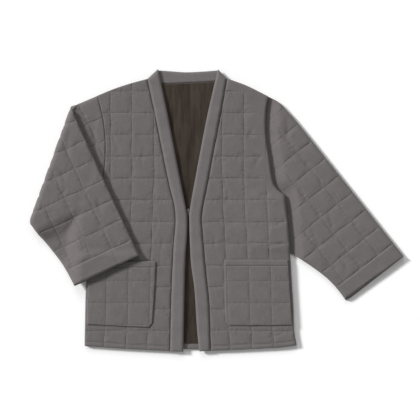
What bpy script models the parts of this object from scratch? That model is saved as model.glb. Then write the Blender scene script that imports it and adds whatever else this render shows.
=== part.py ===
"""Quilted hanten jacket, laid out flat on its back with one sleeve folded over the front.

Left and right are the wearer's, so the jacket's right half lies towards -X. Plan sizes and heights in
the tables are millimetres: x from the centre back, y up from the lowest point of the hem, z from the
surface that the jacket lies on. Each cut piece is a sheet: its outline is drawn as one face, stepped in
along the rim, cut along its quilting lines, and given an under side and an upper side.
"""

import math

import bmesh
import bpy
from mathutils import Matrix, Vector

MM = 0.001

# Gap between pieces that are sewn together, and how close two points of an outline make one corner
SEAM_GAP = 0.3
SAME_CORNER = 1.5
CURVE_STEPS = 2

# Thickness of the cloth layers, and their heights above the surface
BACK_TOP = 6.0
LINING_LOW = BACK_TOP + SEAM_GAP
LINING_TOP = 8.8
FRONT_LOW = LINING_TOP + SEAM_GAP
FRONT_TOP = 16.1
POCKET_GAP = 0.5
POCKET_THICK = 4.0
BAND_TOP = 19.0
SLEEVE_THICK = 15.0
SLEEVE_MIDDLE = SLEEVE_THICK / 2
CUFF_SLOT = 1.6
SLOT_DEPTH = 280.0
SLAB = SLEEVE_THICK
THINNEST = 1.5

# Quilting: a square grid, sunk at each stitched line and full at a quarter of the square
QUILT_PITCH = 58.5
QUILT_SHOULDER = 0.25
PUFF = 1.6
STITCH_HALF = 2.0
BODY_GRAIN_Y = 56.0
CUFF_HEM = 47.0
CUFF_PUFF_SHARE = 0.4
HEM_STITCH = 13.5
HEM_TURN_HALF = 36.0
HEM_TURN_RISE = 2.4
POCKET_PUFF_SHARE = 0.7
POCKET_HEM_SINK = 1.2
BACK_CUT_ROW = 350.0
BAND_CUT_ROWS = range(60, 740, 68)
LINING_HALF = 168.0
LINING_CORNERS = ((168, 640), (108, 690))
NECK_BAND_HIGH = FRONT_LOW - 2 * SEAM_GAP
NECK_SEAM_HALF = 102.0

# Rounded rims, each as its drop at the edge and its reach inwards
CLOSED_RIM = (FRONT_TOP - BACK_TOP - 2 * THINNEST, 10.0)
FLAT_ARM_RIM = (3.6, 5.0)
FRONT_HEM_RIM = (4.0, 6.0)
FRONT_BAND_RIM = (5.0, 9.0)
BACK_CLOSED_RIM = (BACK_TOP - THINNEST, 9.0)
BACK_SOFT_RIM = (2.0, 4.0)
LINING_RIM = (LINING_TOP - LINING_LOW - 1.0, 3.0)
BAND_EDGE_RIM = (5.5, 9.0)
BAND_SEAM_RIM = (6.5, 9.0)
BAND_NECK_RIM = (6.0, 9.0)
BAND_HEM_RIM = (3.5, 5.0)
NECK_TOP_RIM = (4.5, 8.0)
NECK_TOP_UNDER_RIM = (2.5, 6.0)
NECK_SEAM_RIM = (3.0, 5.0)
POCKET_SIDE_RIM = (2.4, 5.0)
POCKET_TOP_RIM = (1.6, 4.0)
SLEEVE_SIDE_RIM = (SLEEVE_MIDDLE - 1.0, 12.0)
SLEEVE_CUFF_RIM = (3.0, 5.0)
SLEEVE_SEAM_RIM = (3.2, 5.0)

# Steps inwards from the outline, where the rounding of the rim is shaped
FRONT_STEPS = (4.5, 9.0)
BACK_STEPS = (4.0, 5.0)
LINING_STEPS = (3.0,)
BAND_STEPS = (3.0, 6.0)
NECK_STEPS = (3.0, 4.0)
POCKET_STEPS = (4.0,)
SLEEVE_STEPS = (4.0, 7.0)
TUCKED_EDGE = 4.5

# Tools of the sheet: cuts this close to a point go through it, and faces this level become one
CUT_SNAP = 0.6
LEVEL_ANGLE = math.radians(0.4)
SHARP_ANGLE = math.radians(45)

# The skirt of the jacket flares, so the quilting of each half drifts outwards below this row
FLARE_TOP = BODY_GRAIN_Y + 7 * QUILT_PITCH
FLARE = {"right": -18.0, "left": 22.0}
BODY_GRAIN_X = {"right": -92.0, "left": 91.0}

# Edges of the body, each read as a smooth line through (x, y)
HEM_RIGHT = ((-49, 1), (-179, 8), (-279, 15))
SIDE_RIGHT = ((-279, 15), (-277, 120), (-275, 184), (-268, 300), (-258, 420))
ARMHOLE_RIGHT = ((-258, 420), (-236, 450), (-225, 494), (-222, 555), (-228, 623), (-244, 688))
SHOULDER_RIGHT = ((-244, 688), (-200, 706), (-155, 721), (-110, 733))
BAND_SEAM_RIGHT = ((-110, 733), (-90, 640), (-56, 470), (-35, 373), (-40, 276), (-46, 144), (-49, 1))
HEM_LEFT = ((60, 2), (140, 5), (248, 11), (292, 17))
SIDE_LEFT = ((292, 17), (285, 57), (283, 121), (278, 200), (274, 264), (269, 335), (259, 421))
ARMHOLE_LEFT = ((259, 421), (240, 437), (228, 458), (219, 515), (210, 575), (209, 640), (216, 686))
SHOULDER_LEFT = ((216, 686), (191, 699), (154, 717), (104, 735))
BAND_SEAM_LEFT = ((104, 735), (92, 665), (61, 500), (37, 373), (38, 325), (47, 217), (56, 130), (60, 2))
HEM_BACK = ((-279, 15), (-150, 9), (8, 6), (150, 9), (292, 17))
NECK_BACK = ((104, 735), (70, 727), (-5, 723), (-70, 721), (-110, 733))

# Free edges of the two front bands, from the neck corner down to the hem
BAND_EDGE_RIGHT = ((-81, 760), (-55, 638), (-29, 503), (-6, 386), (-2, 360), (-3, 310), (-8, 232), (-13, 0))
BAND_EDGE_LEFT = ((80, 759), (52, 638), (26, 503), (5, 386), (3, 349), (7, 244), (17, 165), (24, 56), (30, 1))
NECK_BAND_TOP = ((79, 757), (40, 754), (-6, 752), (-50, 755), (-80, 757))

POCKET_RIGHT = ((-268, 244), (-86, 243), (-91, 150), (-96, 78), (-106, 66), (-271, 74))
POCKET_LEFT = ((98, 247), (268, 247), (273, 160), (279, 72), (110, 71), (101, 80), (99, 160))
POCKET_HEM = 16.0
POCKET_GRAIN = {"right": (-155, 190), "left": (157.5, 190)}

LOOP_OUTLINE = ((-0.8, 366), (1.9, 366), (3.0, 384), (-3.6, 384))
LOOP_TOP = 14.0

# The left sleeve lies spread. Its inner margin is tucked under the raised side of the body.
SLEEVE_LEFT_TOP = ((216, 686), (229, 680), (247, 668), (266, 648), (303, 605), (442, 430), (581, 255))
SLEEVE_LEFT_CUFF = ((581, 255), (439, 145), (425, 137))
SLEEVE_LEFT_UNDER = ((425, 137), (397, 173), (364, 205), (306, 246), (274.6, 264))
SLEEVE_LEFT_TUCK = ((273, 291), (249, 304), (247, 345), (249, 390), (262.5, 397))
SLEEVE_LEFT_GRAIN = 52.0
TUCK_TOP = 4.0
VALLEY_WIDTH = 34.0
BODY_LEFT_INNER = ((100, 686), (100, 17))
LIFT = 4.9
LIFT_COLUMNS = (195.0, 235.0)
LIFT_COLUMNS_ABOVE = (130.0, 235.0)
LIFT_ROWS = (252.0, 290.0, 402.0, 440.0)

# The right sleeve is folded over the front, about a line that runs down its outer side
FOLD_POINT = Vector((-308, 635))
FOLD_ALONG = Vector((-0.338, -0.941)).normalized()
FOLD_OUT = Vector((FOLD_ALONG.y, -FOLD_ALONG.x))
FOLD_AXIS = SLEEVE_THICK + SEAM_GAP
FOLD_NEUTRAL = SLEEVE_THICK / 2
FOLD_TURN = math.pi * FOLD_NEUTRAL
FOLD_STEPS = 7
SLEEVE_RIGHT_TOP = ((-244, 688), (-270, 677), (-296, 666))
FLAP_INNER = ((-304, 634), (-215, 440), (-131, 260))
FLAP_CUFF = ((-131, 260), (-288, 184), (-304, 177))
FLAP_UNDER = ((-304, 177), (-324, 212), (-347, 247), (-382, 291), (-399, 311))
SLEEVE_RIGHT_UNDER = ((-404, 352), (-330, 386), (-258, 420))
SAG_START = 12.0
SAG_REACH = 62.0
SAG_BLEND = 1.2
DRAPE_START = 30.0

# Seen colours of the two cloths, as linear red, green and blue
GREY_CLOTH = (0.155, 0.140, 0.138)
GREY_ROUGHNESS = 0.85
BROWN_PILE = (0.050, 0.038, 0.031)
BROWN_ROUGHNESS = 0.95


def clear_scene():
    for obj in list(bpy.data.objects):
        bpy.data.objects.remove(obj)


def cloth_material(name, colour, roughness):
    material = bpy.data.materials.new(name)
    material.use_nodes = True
    shader = material.node_tree.nodes["Principled BSDF"]
    shader.inputs["Base Color"].default_value = (*colour, 1)
    shader.inputs["Roughness"].default_value = roughness
    shader.inputs["Metallic"].default_value = 0
    return material


def smooth_line(points):
    """A Catmull-Rom curve through the points, with a few steps for each span."""
    points = [Vector(p) for p in points]
    ends = [2 * points[0] - points[1], *points, 2 * points[-1] - points[-2]]
    line = [points[0]]
    for before, start, end, after in zip(ends, ends[1:], ends[2:], ends[3:]):
        for step in range(1, CURVE_STEPS + 1):
            t = step / CURVE_STEPS
            bend = (2 * before - 5 * start + 4 * end - after) * t * t
            twist = (3 * start - before - 3 * end + after) * t**3
            line.append((2 * start + (end - before) * t + bend + twist) / 2)
    return line


def beside(line, distance):
    """The same line moved sideways, to its left as it runs."""
    moved = []
    for i, point in enumerate(line):
        run = line[min(i + 1, len(line) - 1)] - line[max(i - 1, 0)]
        moved.append(point + Vector((-run.y, run.x)).normalized() * distance)
    return moved


def joined(*lines):
    """One outline from lines that follow each other. Of two points at the same corner the later stays."""
    outline = []
    for line in lines:
        for point in line:
            if outline and (point - outline[-1]).length < SAME_CORNER:
                outline.pop()
            outline.append(point)
    if (outline[0] - outline[-1]).length < SAME_CORNER:
        outline.pop(0)
    return outline


def with_row(outline, row):
    """The outline with a point added wherever it crosses the row."""
    points = []
    for start, end in zip(outline, outline[1:] + outline[:1]):
        points.append(start)
        if (start.y - row) * (end.y - row) < 0:
            points.append(start.lerp(end, (row - start.y) / (end.y - start.y)))
    return points


def distance_to(point, line):
    nearest = math.inf
    for start, end in zip(line, line[1:]):
        run = end - start
        share = max(0.0, min(1.0, (point - start).dot(run) / run.length_squared))
        nearest = min(nearest, (point - start - run * share).length)
    return nearest


def is_inside(point, outline):
    inside = False
    for a, b in zip(outline, outline[1:] + outline[:1]):
        if (a.y > point.y) != (b.y > point.y):
            if point.x < a.x + (point.y - a.y) / (b.y - a.y) * (b.x - a.x):
                inside = not inside
    return inside


def outside_distance(point, outline):
    return 0.0 if is_inside(point, outline) else distance_to(point, outline + outline[:1])


def eased(share):
    share = max(0.0, min(1.0, share))
    return share * share * (3 - 2 * share)


def ramp(value, start, full):
    return max(0.0, min(1.0, (value - start) / (full - start)))


def rim_drop(point, rims):
    """How far a rounded rim lies below the flat of its sheet. A rim is (line, drop at the edge, reach)."""
    drop = 0.0
    for line, at_edge, reach in rims:
        inward = min(distance_to(point, line) / reach, 1.0)
        drop = max(drop, at_edge * (1 - math.sqrt(1 - (1 - inward) ** 2)))
    return drop


def quilt_sink(point, origin, along):
    """How far the upper side sinks towards the nearest stitched line of the quilting."""
    across = Vector((-along.y, along.x))
    nearest = QUILT_PITCH
    for axis in (along, across):
        place = (point - origin).dot(axis) / QUILT_PITCH
        nearest = min(nearest, abs(place - round(place)) * QUILT_PITCH)
    return PUFF * (1 - min(1.0, nearest / (QUILT_SHOULDER * QUILT_PITCH)))


def quilt_cuts(outline, origin, along):
    """Planes across the sheet at each quilting line and at both shoulders of it."""
    cuts = []
    for axis in (along, Vector((-along.y, along.x))):
        reach = [(point - origin).dot(axis) / QUILT_PITCH for point in outline]
        for line in range(math.floor(min(reach)), math.ceil(max(reach)) + 1):
            for shoulder in (-QUILT_SHOULDER, 0, QUILT_SHOULDER):
                cuts.append((origin + axis * (line + shoulder) * QUILT_PITCH, axis))
    return cuts


def drifted(point, flare):
    """Where a point of the straight cloth lies once the skirt of the jacket has flared."""
    return Vector((point.x + flare * ramp(point.y, FLARE_TOP, 0), point.y))


def body_lift(point, columns=LIFT_COLUMNS):
    """The left side of the body is raised, because the tucked margin of the sleeve is under it."""
    low, full, full_end, end = LIFT_ROWS
    rows = min(ramp(point.y, low, full), ramp(point.y, end, full_end))
    return LIFT * rows * ramp(point.x, *columns)


LIFT_CUTS = [(Vector((0, row)), Vector((0, 1))) for row in LIFT_ROWS]
LIFT_CUTS += [(Vector((column, 0)), Vector((1, 0))) for column in LIFT_COLUMNS_ABOVE[:1] + LIFT_COLUMNS]


def cut_slot(bm, cuff, run, depth):
    """The flat space between the two walls of a sleeve, from its cuff inwards."""
    wall = [
        face
        for face in bm.faces
        if abs(face.normal.z) < 0.5 and distance_to(face.calc_center_median().xy, cuff) < SEAM_GAP
    ]
    bmesh.ops.inset_region(bm, faces=wall, thickness=(SLAB - CUFF_SLOT) / 2, use_even_offset=True)
    pushed = bmesh.ops.extrude_face_region(bm, geom=wall)
    bmesh.ops.delete(bm, geom=wall, context="FACES")
    across = cuff[-1] - cuff[0]
    for item in pushed["geom"]:
        if isinstance(item, bmesh.types.BMVert):
            share = (item.co.xy - cuff[0]).dot(across) / across.length_squared
            item.co.xy += run * depth * (1 - share / 2)


def thickened_sheet(outline, low, high, insets=(), cuts=(), flare=0.0, plain_low=None, slot=None):
    """A closed bmesh in millimetres. low and high give the height of each side at a plan point."""
    bm = bmesh.new()
    for point in with_row(outline, FLARE_TOP) if flare else outline:
        bm.verts.new((*drifted(point, -flare), 0))
    bmesh.ops.recalc_face_normals(bm, faces=[bm.faces.new(bm.verts)])
    whole = bm.faces[:]
    for step in insets:
        bmesh.ops.inset_individual(bm, faces=whole, thickness=step, use_even_offset=True)
    raised = bmesh.ops.extrude_face_region(bm, geom=bm.faces[:], use_keep_orig=True)
    for item in raised["geom"]:
        if isinstance(item, bmesh.types.BMVert):
            item.co.z = SLAB
    bmesh.ops.recalc_face_normals(bm, faces=bm.faces[:])
    if slot:
        cut_slot(bm, *slot)
    for place, normal in cuts:
        bmesh.ops.bisect_plane(
            bm,
            geom=bm.verts[:] + bm.edges[:] + bm.faces[:],
            dist=CUT_SNAP,
            plane_co=(*place, 0),
            plane_no=(*normal, 0),
        )
    under = set()
    for vert in bm.verts:
        vert.co.xy = drifted(vert.co.xy, flare)
        if vert.co.z == 0:
            under.add(vert)
            vert.co.z = low(vert.co.xy)
        elif vert.co.z == SLAB:
            vert.co.z = high(vert.co.xy)
    bmesh.ops.recalc_face_normals(bm, faces=bm.faces[:])
    plain = [
        face
        for face in bm.faces
        if under.issuperset(face.verts) and (plain_low is None or plain_low(face.calc_center_median().xy))
    ]
    covered = set(plain)
    inner = [vert for vert in bm.verts if covered.issuperset(vert.link_faces)]
    edges = [edge for edge in bm.edges if covered.issuperset(edge.link_faces)]
    bmesh.ops.dissolve_limit(bm, angle_limit=LEVEL_ANGLE, verts=inner, edges=edges)
    return bm


def finished(name, bm, colour=GREY_CLOTH, roughness=GREY_ROUGHNESS):
    """Makes the object of a sheet, in metres, with its own material, and hangs it on the jacket's middle."""
    bmesh.ops.transform(bm, matrix=Matrix.Scale(MM, 4), verts=bm.verts[:])
    bmesh.ops.recalc_face_normals(bm, faces=bm.faces[:])
    mesh = bpy.data.meshes.new(name)
    bm.to_mesh(mesh)
    bm.free()
    mesh.materials.append(cloth_material(name + "_cloth", colour, roughness))
    mesh.shade_smooth()
    mesh.set_sharp_from_angle(angle=SHARP_ANGLE)
    obj = bpy.data.objects.new(name, mesh)
    obj.parent = middle
    jacket.objects.link(obj)


# Edges as smooth lines, shared by the pieces that meet on them
def body_lines():
    tables = {
        "hem_right": HEM_RIGHT,
        "side_right": SIDE_RIGHT,
        "armhole_right": ARMHOLE_RIGHT,
        "shoulder_right": SHOULDER_RIGHT,
        "band_right": BAND_SEAM_RIGHT,
        "hem_left": HEM_LEFT,
        "side_left": SIDE_LEFT,
        "armhole_left": ARMHOLE_LEFT,
        "shoulder_left": SHOULDER_LEFT,
        "band_left": BAND_SEAM_LEFT,
        "hem_back": HEM_BACK,
        "neck_back": NECK_BACK,
    }
    return {name: smooth_line(points) for name, points in tables.items()}


def front_rims(half):
    """Rims of a front: closed at side, armhole and shoulder, softer at the hem and the band's seam. The
    right armhole is pressed flat, because the sleeve's own cloth goes on there at the same height."""
    return (
        (EDGES["side_" + half], *CLOSED_RIM),
        (EDGES["armhole_" + half], *(FLAT_ARM_RIM if half == "right" else CLOSED_RIM)),
        (EDGES["shoulder_" + half], *CLOSED_RIM),
        (EDGES["hem_" + half], *FRONT_HEM_RIM),
        (EDGES["band_" + half], *FRONT_BAND_RIM),
    )


def pocket_outline(half):
    return [Vector(p) for p in (POCKET_RIGHT if half == "right" else POCKET_LEFT)]


def front_upper(half):
    """Height of the front's outer side: quilted, with a stitched hem, and pressed flat under its pocket."""
    rims = front_rims(half)
    origin = Vector((BODY_GRAIN_X[half], BODY_GRAIN_Y))
    pocket = pocket_outline(half)
    hem = EDGES["hem_" + half]

    def height(point):
        sink = quilt_sink(drifted(point, -FLARE[half]), origin, Vector((1, 0)))
        stitched = abs(distance_to(point, hem) - HEM_STITCH) < STITCH_HALF
        sink = 0.0 if is_inside(point, pocket) else max(sink, PUFF if stitched else 0.0)
        return FRONT_TOP + body_lift(point, LIFT_COLUMNS_ABOVE) - max(rim_drop(point, rims), sink)

    return height


def front_panel(half):
    closed = joined(*(EDGES[part + half] for part in ("side_", "armhole_", "shoulder_")))
    band = beside(EDGES["band_" + half], -SEAM_GAP / 2 if half == "right" else SEAM_GAP / 2)
    outline = joined(EDGES["hem_" + half], closed, band)
    flat = [drifted(point, -FLARE[half]) for point in outline]
    origin = Vector((BODY_GRAIN_X[half], BODY_GRAIN_Y))

    def under(point):
        tuck = ramp(distance_to(point, closed), TUCKED_EDGE, 0)
        return FRONT_LOW + body_lift(point) - (FRONT_LOW - BACK_TOP - SEAM_GAP) * tuck

    cuts = quilt_cuts(flat, origin, Vector((1, 0)))
    if half == "left":
        cuts += LIFT_CUTS
    sheet = thickened_sheet(outline, under, front_upper(half), FRONT_STEPS, cuts, FLARE[half])
    finished("front_" + half, sheet)


def back_panel():
    """The back lies under everything. Its hem is turned up to the inside, over the end of the lining."""
    names = ("hem_back", "side_left", "armhole_left", "shoulder_left", "neck_back")
    names += ("shoulder_right", "armhole_right", "side_right")
    lines = [EDGES[name] for name in names]
    lines[5:] = [line[::-1] for line in lines[5:]]
    closed = joined(*lines[1:4]), joined(*lines[5:])
    rims = [(line, *BACK_CLOSED_RIM) for line in closed]
    rims += [(line, *BACK_SOFT_RIM) for line in (lines[0], lines[4])]

    def under(point):
        return body_lift(point) + rim_drop(point, rims)

    def upper(point):
        turned = abs(point.x) < HEM_TURN_HALF and distance_to(point, lines[0]) < HEM_STITCH - 1.0
        return BACK_TOP + body_lift(point) + (HEM_TURN_RISE if turned else 0.0)

    cuts = [(Vector((side * HEM_TURN_HALF, 0)), Vector((1, 0))) for side in (-1, 1)] + LIFT_CUTS
    cuts.append((Vector((0, BACK_CUT_ROW)), Vector((0, 1))))
    sheet = thickened_sheet(joined(*lines), under, upper, BACK_STEPS, cuts)
    finished("back_panel", sheet)


def back_lining():
    """The lining as far as it shows between the fronts, with a margin under each."""
    hem = beside(EDGES["hem_back"], HEM_STITCH + 1.5)
    neck = beside(EDGES["neck_back"], SEAM_GAP + 0.4)
    bottom = [point for point in hem if abs(point.x) < LINING_HALF]
    top = [point for point in neck if abs(point.x) < LINING_HALF / 2]
    right = [Vector(corner) for corner in LINING_CORNERS]
    left = [Vector((-corner.x, corner.y)) for corner in reversed(right)]
    outline = joined(bottom, right, top, left)
    rims = ((outline + outline[:1], *LINING_RIM),)
    sheet = thickened_sheet(
        outline, lambda p: LINING_LOW, lambda p: LINING_TOP - rim_drop(p, rims), LINING_STEPS
    )
    finished("back_lining", sheet, BROWN_PILE, BROWN_ROUGHNESS)


def front_band(half):
    """One half of the long collar band, padded and plain, with its end folded over the shoulder."""
    edge = smooth_line(BAND_EDGE_RIGHT if half == "right" else BAND_EDGE_LEFT)
    seam = beside(EDGES["band_" + half], SEAM_GAP / 2 if half == "right" else -SEAM_GAP / 2)
    outline = joined(edge, seam[::-1])
    neck_fold = [edge[0], seam[0]]
    hem_end = [edge[-1], seam[-1]]
    rims = (
        (edge, *BAND_EDGE_RIM),
        (seam, *BAND_SEAM_RIM),
        (neck_fold, *BAND_NECK_RIM),
        (hem_end, *BAND_HEM_RIM),
    )

    cuts = [(Vector((0, row)), Vector((0, 1))) for row in BAND_CUT_ROWS]
    sheet = thickened_sheet(
        outline, lambda p: FRONT_LOW, lambda p: BAND_TOP - rim_drop(p, rims), BAND_STEPS, cuts
    )
    finished("collar_band_" + half, sheet)


def neck_band():
    """The same band behind the neck, turned up from the back, so its inner side shows."""
    top = smooth_line(NECK_BAND_TOP)
    seam = beside(EDGES["neck_back"], -1.5 * SEAM_GAP)
    seam = [point for point in seam if abs(point.x) < NECK_SEAM_HALF]
    outline = joined(top, seam[::-1])
    rims = ((top, *NECK_TOP_RIM), (seam, *NECK_SEAM_RIM))

    def under(point):
        return rim_drop(point, ((top, *NECK_TOP_UNDER_RIM),))

    sheet = thickened_sheet(outline, under, lambda p: NECK_BAND_HIGH - rim_drop(p, rims), NECK_STEPS)
    finished("collar_band_back", sheet)


def pocket(half):
    """A quilted patch pocket, with a stitched hem along its top edge."""
    outline = pocket_outline(half)
    top = outline[:2]
    sides = outline[1:] + outline[:1]
    seat = FRONT_TOP + POCKET_GAP
    grain = Vector(POCKET_GRAIN[half])
    rims = ((sides, *POCKET_SIDE_RIM), (top, *POCKET_TOP_RIM))

    def upper(point):
        flat = drifted(point, -FLARE[half] / 2)
        sink = POCKET_PUFF_SHARE * quilt_sink(flat, grain, Vector((1, 0)))
        from_top = distance_to(point, top)
        if from_top < POCKET_HEM + STITCH_HALF:
            sink = POCKET_HEM_SINK if from_top > POCKET_HEM - STITCH_HALF else 0.0
        return seat + POCKET_THICK - max(sink, rim_drop(point, rims))

    cuts = quilt_cuts(outline, grain, Vector((1, 0)))
    hem_rows = (POCKET_HEM, POCKET_HEM + 2 * STITCH_HALF)
    cuts += [(top[0] - Vector((0, row)), Vector((0, 1))) for row in hem_rows]
    sheet = thickened_sheet(outline, lambda p: seat, upper, POCKET_STEPS, cuts, FLARE[half] / 2)
    finished("pocket_" + half, sheet)


def sleeve_rims(top, under, cuff):
    """Rims of a flattened sleeve: tight at the folded top and the seam below, blunt at the cuff."""
    return ((top, *SLEEVE_SIDE_RIM), (under, *SLEEVE_SIDE_RIM), (cuff, *SLEEVE_CUFF_RIM))


def cuff_sink(point, cuff, origin, along):
    """Quilting of a sleeve, fainter in the stitched hem of its cuff."""
    from_cuff = distance_to(point, cuff)
    sink = quilt_sink(point, origin, along)
    return sink * (1.0 if from_cuff > CUFF_HEM - STITCH_HALF else CUFF_PUFF_SHARE)


def sleeve_left():
    """The spread sleeve: a tube pressed flat, dipping to the seam where it leaves the body."""
    top = smooth_line(SLEEVE_LEFT_TOP)
    cuff = [Vector(p) for p in SLEEVE_LEFT_CUFF]
    under_seam = smooth_line(SLEEVE_LEFT_UNDER)
    tuck = [Vector(p) for p in SLEEVE_LEFT_TUCK]
    beside_side = beside(EDGES["side_left"], -1.5 * SEAM_GAP)
    lower = [p for p in beside_side if SLEEVE_LEFT_UNDER[-1][1] < p.y < tuck[0].y]
    upper_side = [p for p in beside_side if p.y > tuck[-1].y]
    armhole = beside(EDGES["armhole_left"], -1.5 * SEAM_GAP)
    outline = joined(top, cuff, under_seam, lower, tuck, upper_side, armhole)
    body = joined(EDGES["side_left"], EDGES["armhole_left"], [Vector(p) for p in BODY_LEFT_INNER])
    run = (top[-3] - top[-1]).normalized()
    grain = top[-1] + run * CUFF_HEM + Vector((run.y, -run.x)) * -SLEEVE_LEFT_GRAIN
    rims = sleeve_rims(top, under_seam, cuff)
    deepest = SLEEVE_THICK - TUCK_TOP

    def upper(point):
        valley = deepest * (1 - eased((outside_distance(point, body) - 1) / VALLEY_WIDTH))
        sink = cuff_sink(point, cuff, grain, run)
        return SLEEVE_THICK - max(rim_drop(point, rims), min(valley + sink / 2, deepest), sink)

    def under(point):
        return min(rim_drop(point, rims), upper(point) - THINNEST)

    cuts = quilt_cuts(outline, grain, run)
    sheet = thickened_sheet(outline, under, upper, SLEEVE_STEPS, cuts, slot=(cuff, run, SLOT_DEPTH))
    finished("sleeve_left", sheet)


def unfolded(point):
    """Where a point of the folded part lies before the sleeve is turned over its fold line."""
    offset = Vector(point) - FOLD_POINT
    back = -offset.dot(FOLD_OUT)
    return FOLD_POINT + FOLD_ALONG * offset.dot(FOLD_ALONG) + FOLD_OUT * (back + FOLD_TURN)


def resting_height(point, supports):
    """Height of what the folded sleeve lies on, sagging to the surface beyond its edge. Where two things
    carry it, the higher counts most, so it runs on smoothly from one to the other."""
    total = share = 0.0
    for outline, top in supports:
        away = outside_distance(point, outline) - SAG_START
        height = top * (1 - eased(away / SAG_REACH))
        weight = math.exp(height / SAG_BLEND)
        total += height * weight
        share += weight
    return total / share


def folded(point, supports):
    """Turns the part beyond the fold line over on to what lies under it."""
    offset = point.xy - FOLD_POINT
    beyond = offset.dot(FOLD_OUT)
    if beyond <= 0:
        return point
    turn = min(beyond / FOLD_NEUTRAL, math.pi)
    back = max(0.0, beyond - FOLD_TURN)
    radius = FOLD_AXIS - point.z
    out = radius * math.sin(turn) - back
    plan = FOLD_POINT + FOLD_ALONG * offset.dot(FOLD_ALONG) + FOLD_OUT * out
    height = FOLD_AXIS - radius * math.cos(turn)
    base = 2 * FOLD_AXIS - SLEEVE_THICK
    drape = resting_height(plan, supports) - base
    return Vector((*plan, height + drape * eased(back / DRAPE_START)))


def sleeve_right():
    """The folded sleeve: its lower part runs out flat from the armhole and its outer part lies back over it."""
    top_lower = [Vector(p) for p in SLEEVE_RIGHT_TOP]
    inner = [unfolded(p) for p in FLAP_INNER]
    cuff = [unfolded(p) for p in FLAP_CUFF]
    flap_under = [unfolded(p) for p in smooth_line(FLAP_UNDER)]
    lower_under = [Vector(p) for p in SLEEVE_RIGHT_UNDER]
    armhole = beside(EDGES["armhole_right"], 1.5 * SEAM_GAP)
    outline = joined(top_lower, inner, cuff, flap_under, lower_under, armhole)
    run = (inner[0] - inner[-1]).normalized()
    grain = inner[-1] + run * CUFF_HEM + Vector((-run.y, run.x)) * -QUILT_PITCH
    rims = sleeve_rims(top_lower + inner, flap_under + lower_under, cuff)
    seam = ((armhole, *SLEEVE_SEAM_RIM),)

    def beyond_fold(point):
        return (point - FOLD_POINT).dot(FOLD_OUT)

    def upper(point):
        sink = cuff_sink(point, cuff, grain, run) if beyond_fold(point) < FOLD_TURN / 2 else 0.0
        return SLEEVE_THICK - max(rim_drop(point, rims), rim_drop(point, seam), sink)

    def under(point):
        sink = cuff_sink(point, cuff, grain, run) if beyond_fold(point) > 1.0 else 0.0
        return min(max(rim_drop(point, rims), sink), upper(point) - THINNEST)

    cuts = quilt_cuts(outline, grain, run)
    for step in range(FOLD_STEPS):
        place = FOLD_POINT + FOLD_OUT * (FOLD_TURN * step / (FOLD_STEPS - 1))
        cuts.append((place, FOLD_OUT))
    sheet = thickened_sheet(
        outline,
        under,
        upper,
        SLEEVE_STEPS,
        cuts,
        plain_low=lambda p: beyond_fold(p) < -1.0,
        slot=(cuff, run, SLOT_DEPTH),
    )
    body = joined(*(EDGES[part + "right"] for part in ("hem_", "side_", "armhole_", "shoulder_", "band_")))
    lower_part = joined(top_lower, lower_under, armhole)
    supports = (
        (lower_part, SLEEVE_THICK + 4 * SEAM_GAP),
        (body, FRONT_TOP + 3 * SEAM_GAP),
        (pocket_outline("right"), FRONT_TOP + POCKET_GAP + POCKET_THICK + 3 * SEAM_GAP),
    )
    for vert in sheet.verts:
        vert.co = folded(vert.co, supports)
    finished("sleeve_right", sheet)


def closing_loop():
    """A short cloth loop that lies between the two bands where the neck opening ends."""
    outline = [Vector(p) for p in LOOP_OUTLINE]
    sheet = thickened_sheet(outline, lambda p: FRONT_LOW, lambda p: LOOP_TOP)
    finished("closing_loop", sheet)


clear_scene()
jacket = bpy.data.collections.new("hanten_jacket")
bpy.context.scene.collection.children.link(jacket)
middle = bpy.data.objects.new("middle", None)
jacket.objects.link(middle)
EDGES = body_lines()
back_panel()
back_lining()
for side in ("right", "left"):
    front_panel(side)
    front_band(side)
    pocket(side)
neck_band()
closing_loop()
sleeve_left()
sleeve_right()

# The origin is in the middle of the whole lay, on the surface under it
corners = [Vector(corner) for obj in jacket.objects if obj.data for corner in obj.bound_box]
for axis in (0, 1):
    along = [corner[axis] for corner in corners]
    middle.location[axis] = -(min(along) + max(along)) / 2
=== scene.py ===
"""Looks of a quilted hanten jacket that lies flat with one sleeve folded over its front.

Left and right are the wearer's. Plan sizes are millimetres, x from the centre back and y up from the
lowest point of the hem, and z is the height above the surface. Each finished piece is brought to metres
and on to its solid.
"""

import math

import bmesh
import bpy
import numpy as np
from mathutils import Matrix, Vector
from mathutils.bvhtree import BVHTree


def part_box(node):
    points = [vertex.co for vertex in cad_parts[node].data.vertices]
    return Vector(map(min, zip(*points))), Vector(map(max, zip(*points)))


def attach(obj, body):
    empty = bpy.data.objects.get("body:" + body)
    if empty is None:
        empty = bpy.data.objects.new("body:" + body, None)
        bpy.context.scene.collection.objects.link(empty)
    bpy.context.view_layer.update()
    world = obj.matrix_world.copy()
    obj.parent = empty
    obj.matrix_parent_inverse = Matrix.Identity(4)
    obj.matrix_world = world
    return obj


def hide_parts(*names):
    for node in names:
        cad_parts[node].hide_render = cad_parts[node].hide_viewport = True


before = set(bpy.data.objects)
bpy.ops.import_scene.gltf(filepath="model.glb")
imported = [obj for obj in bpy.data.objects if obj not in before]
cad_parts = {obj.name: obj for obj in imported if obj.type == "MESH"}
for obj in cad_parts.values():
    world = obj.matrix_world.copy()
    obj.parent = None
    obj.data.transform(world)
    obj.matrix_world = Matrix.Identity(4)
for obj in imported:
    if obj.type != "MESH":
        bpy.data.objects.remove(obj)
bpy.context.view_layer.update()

# Grey cotton, the cloth of every outer piece: a plain weave of fine warm-grey threads with a few slubs.
# The weave follows each piece's own grain, through a UV map in metres, and the raised threads, the slubs
# and the slow mottling of the dye come out of one node group. Its tone also holds painted shade of the
# weave: the thread crowns are painted lighter and the hollows between the threads darker.
THREAD = 0.00062
GREY_DARK = (0.112, 0.101, 0.100)
GREY_LIGHT = (0.162, 0.147, 0.146)
GREY_SHEEN = 0.22


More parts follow.
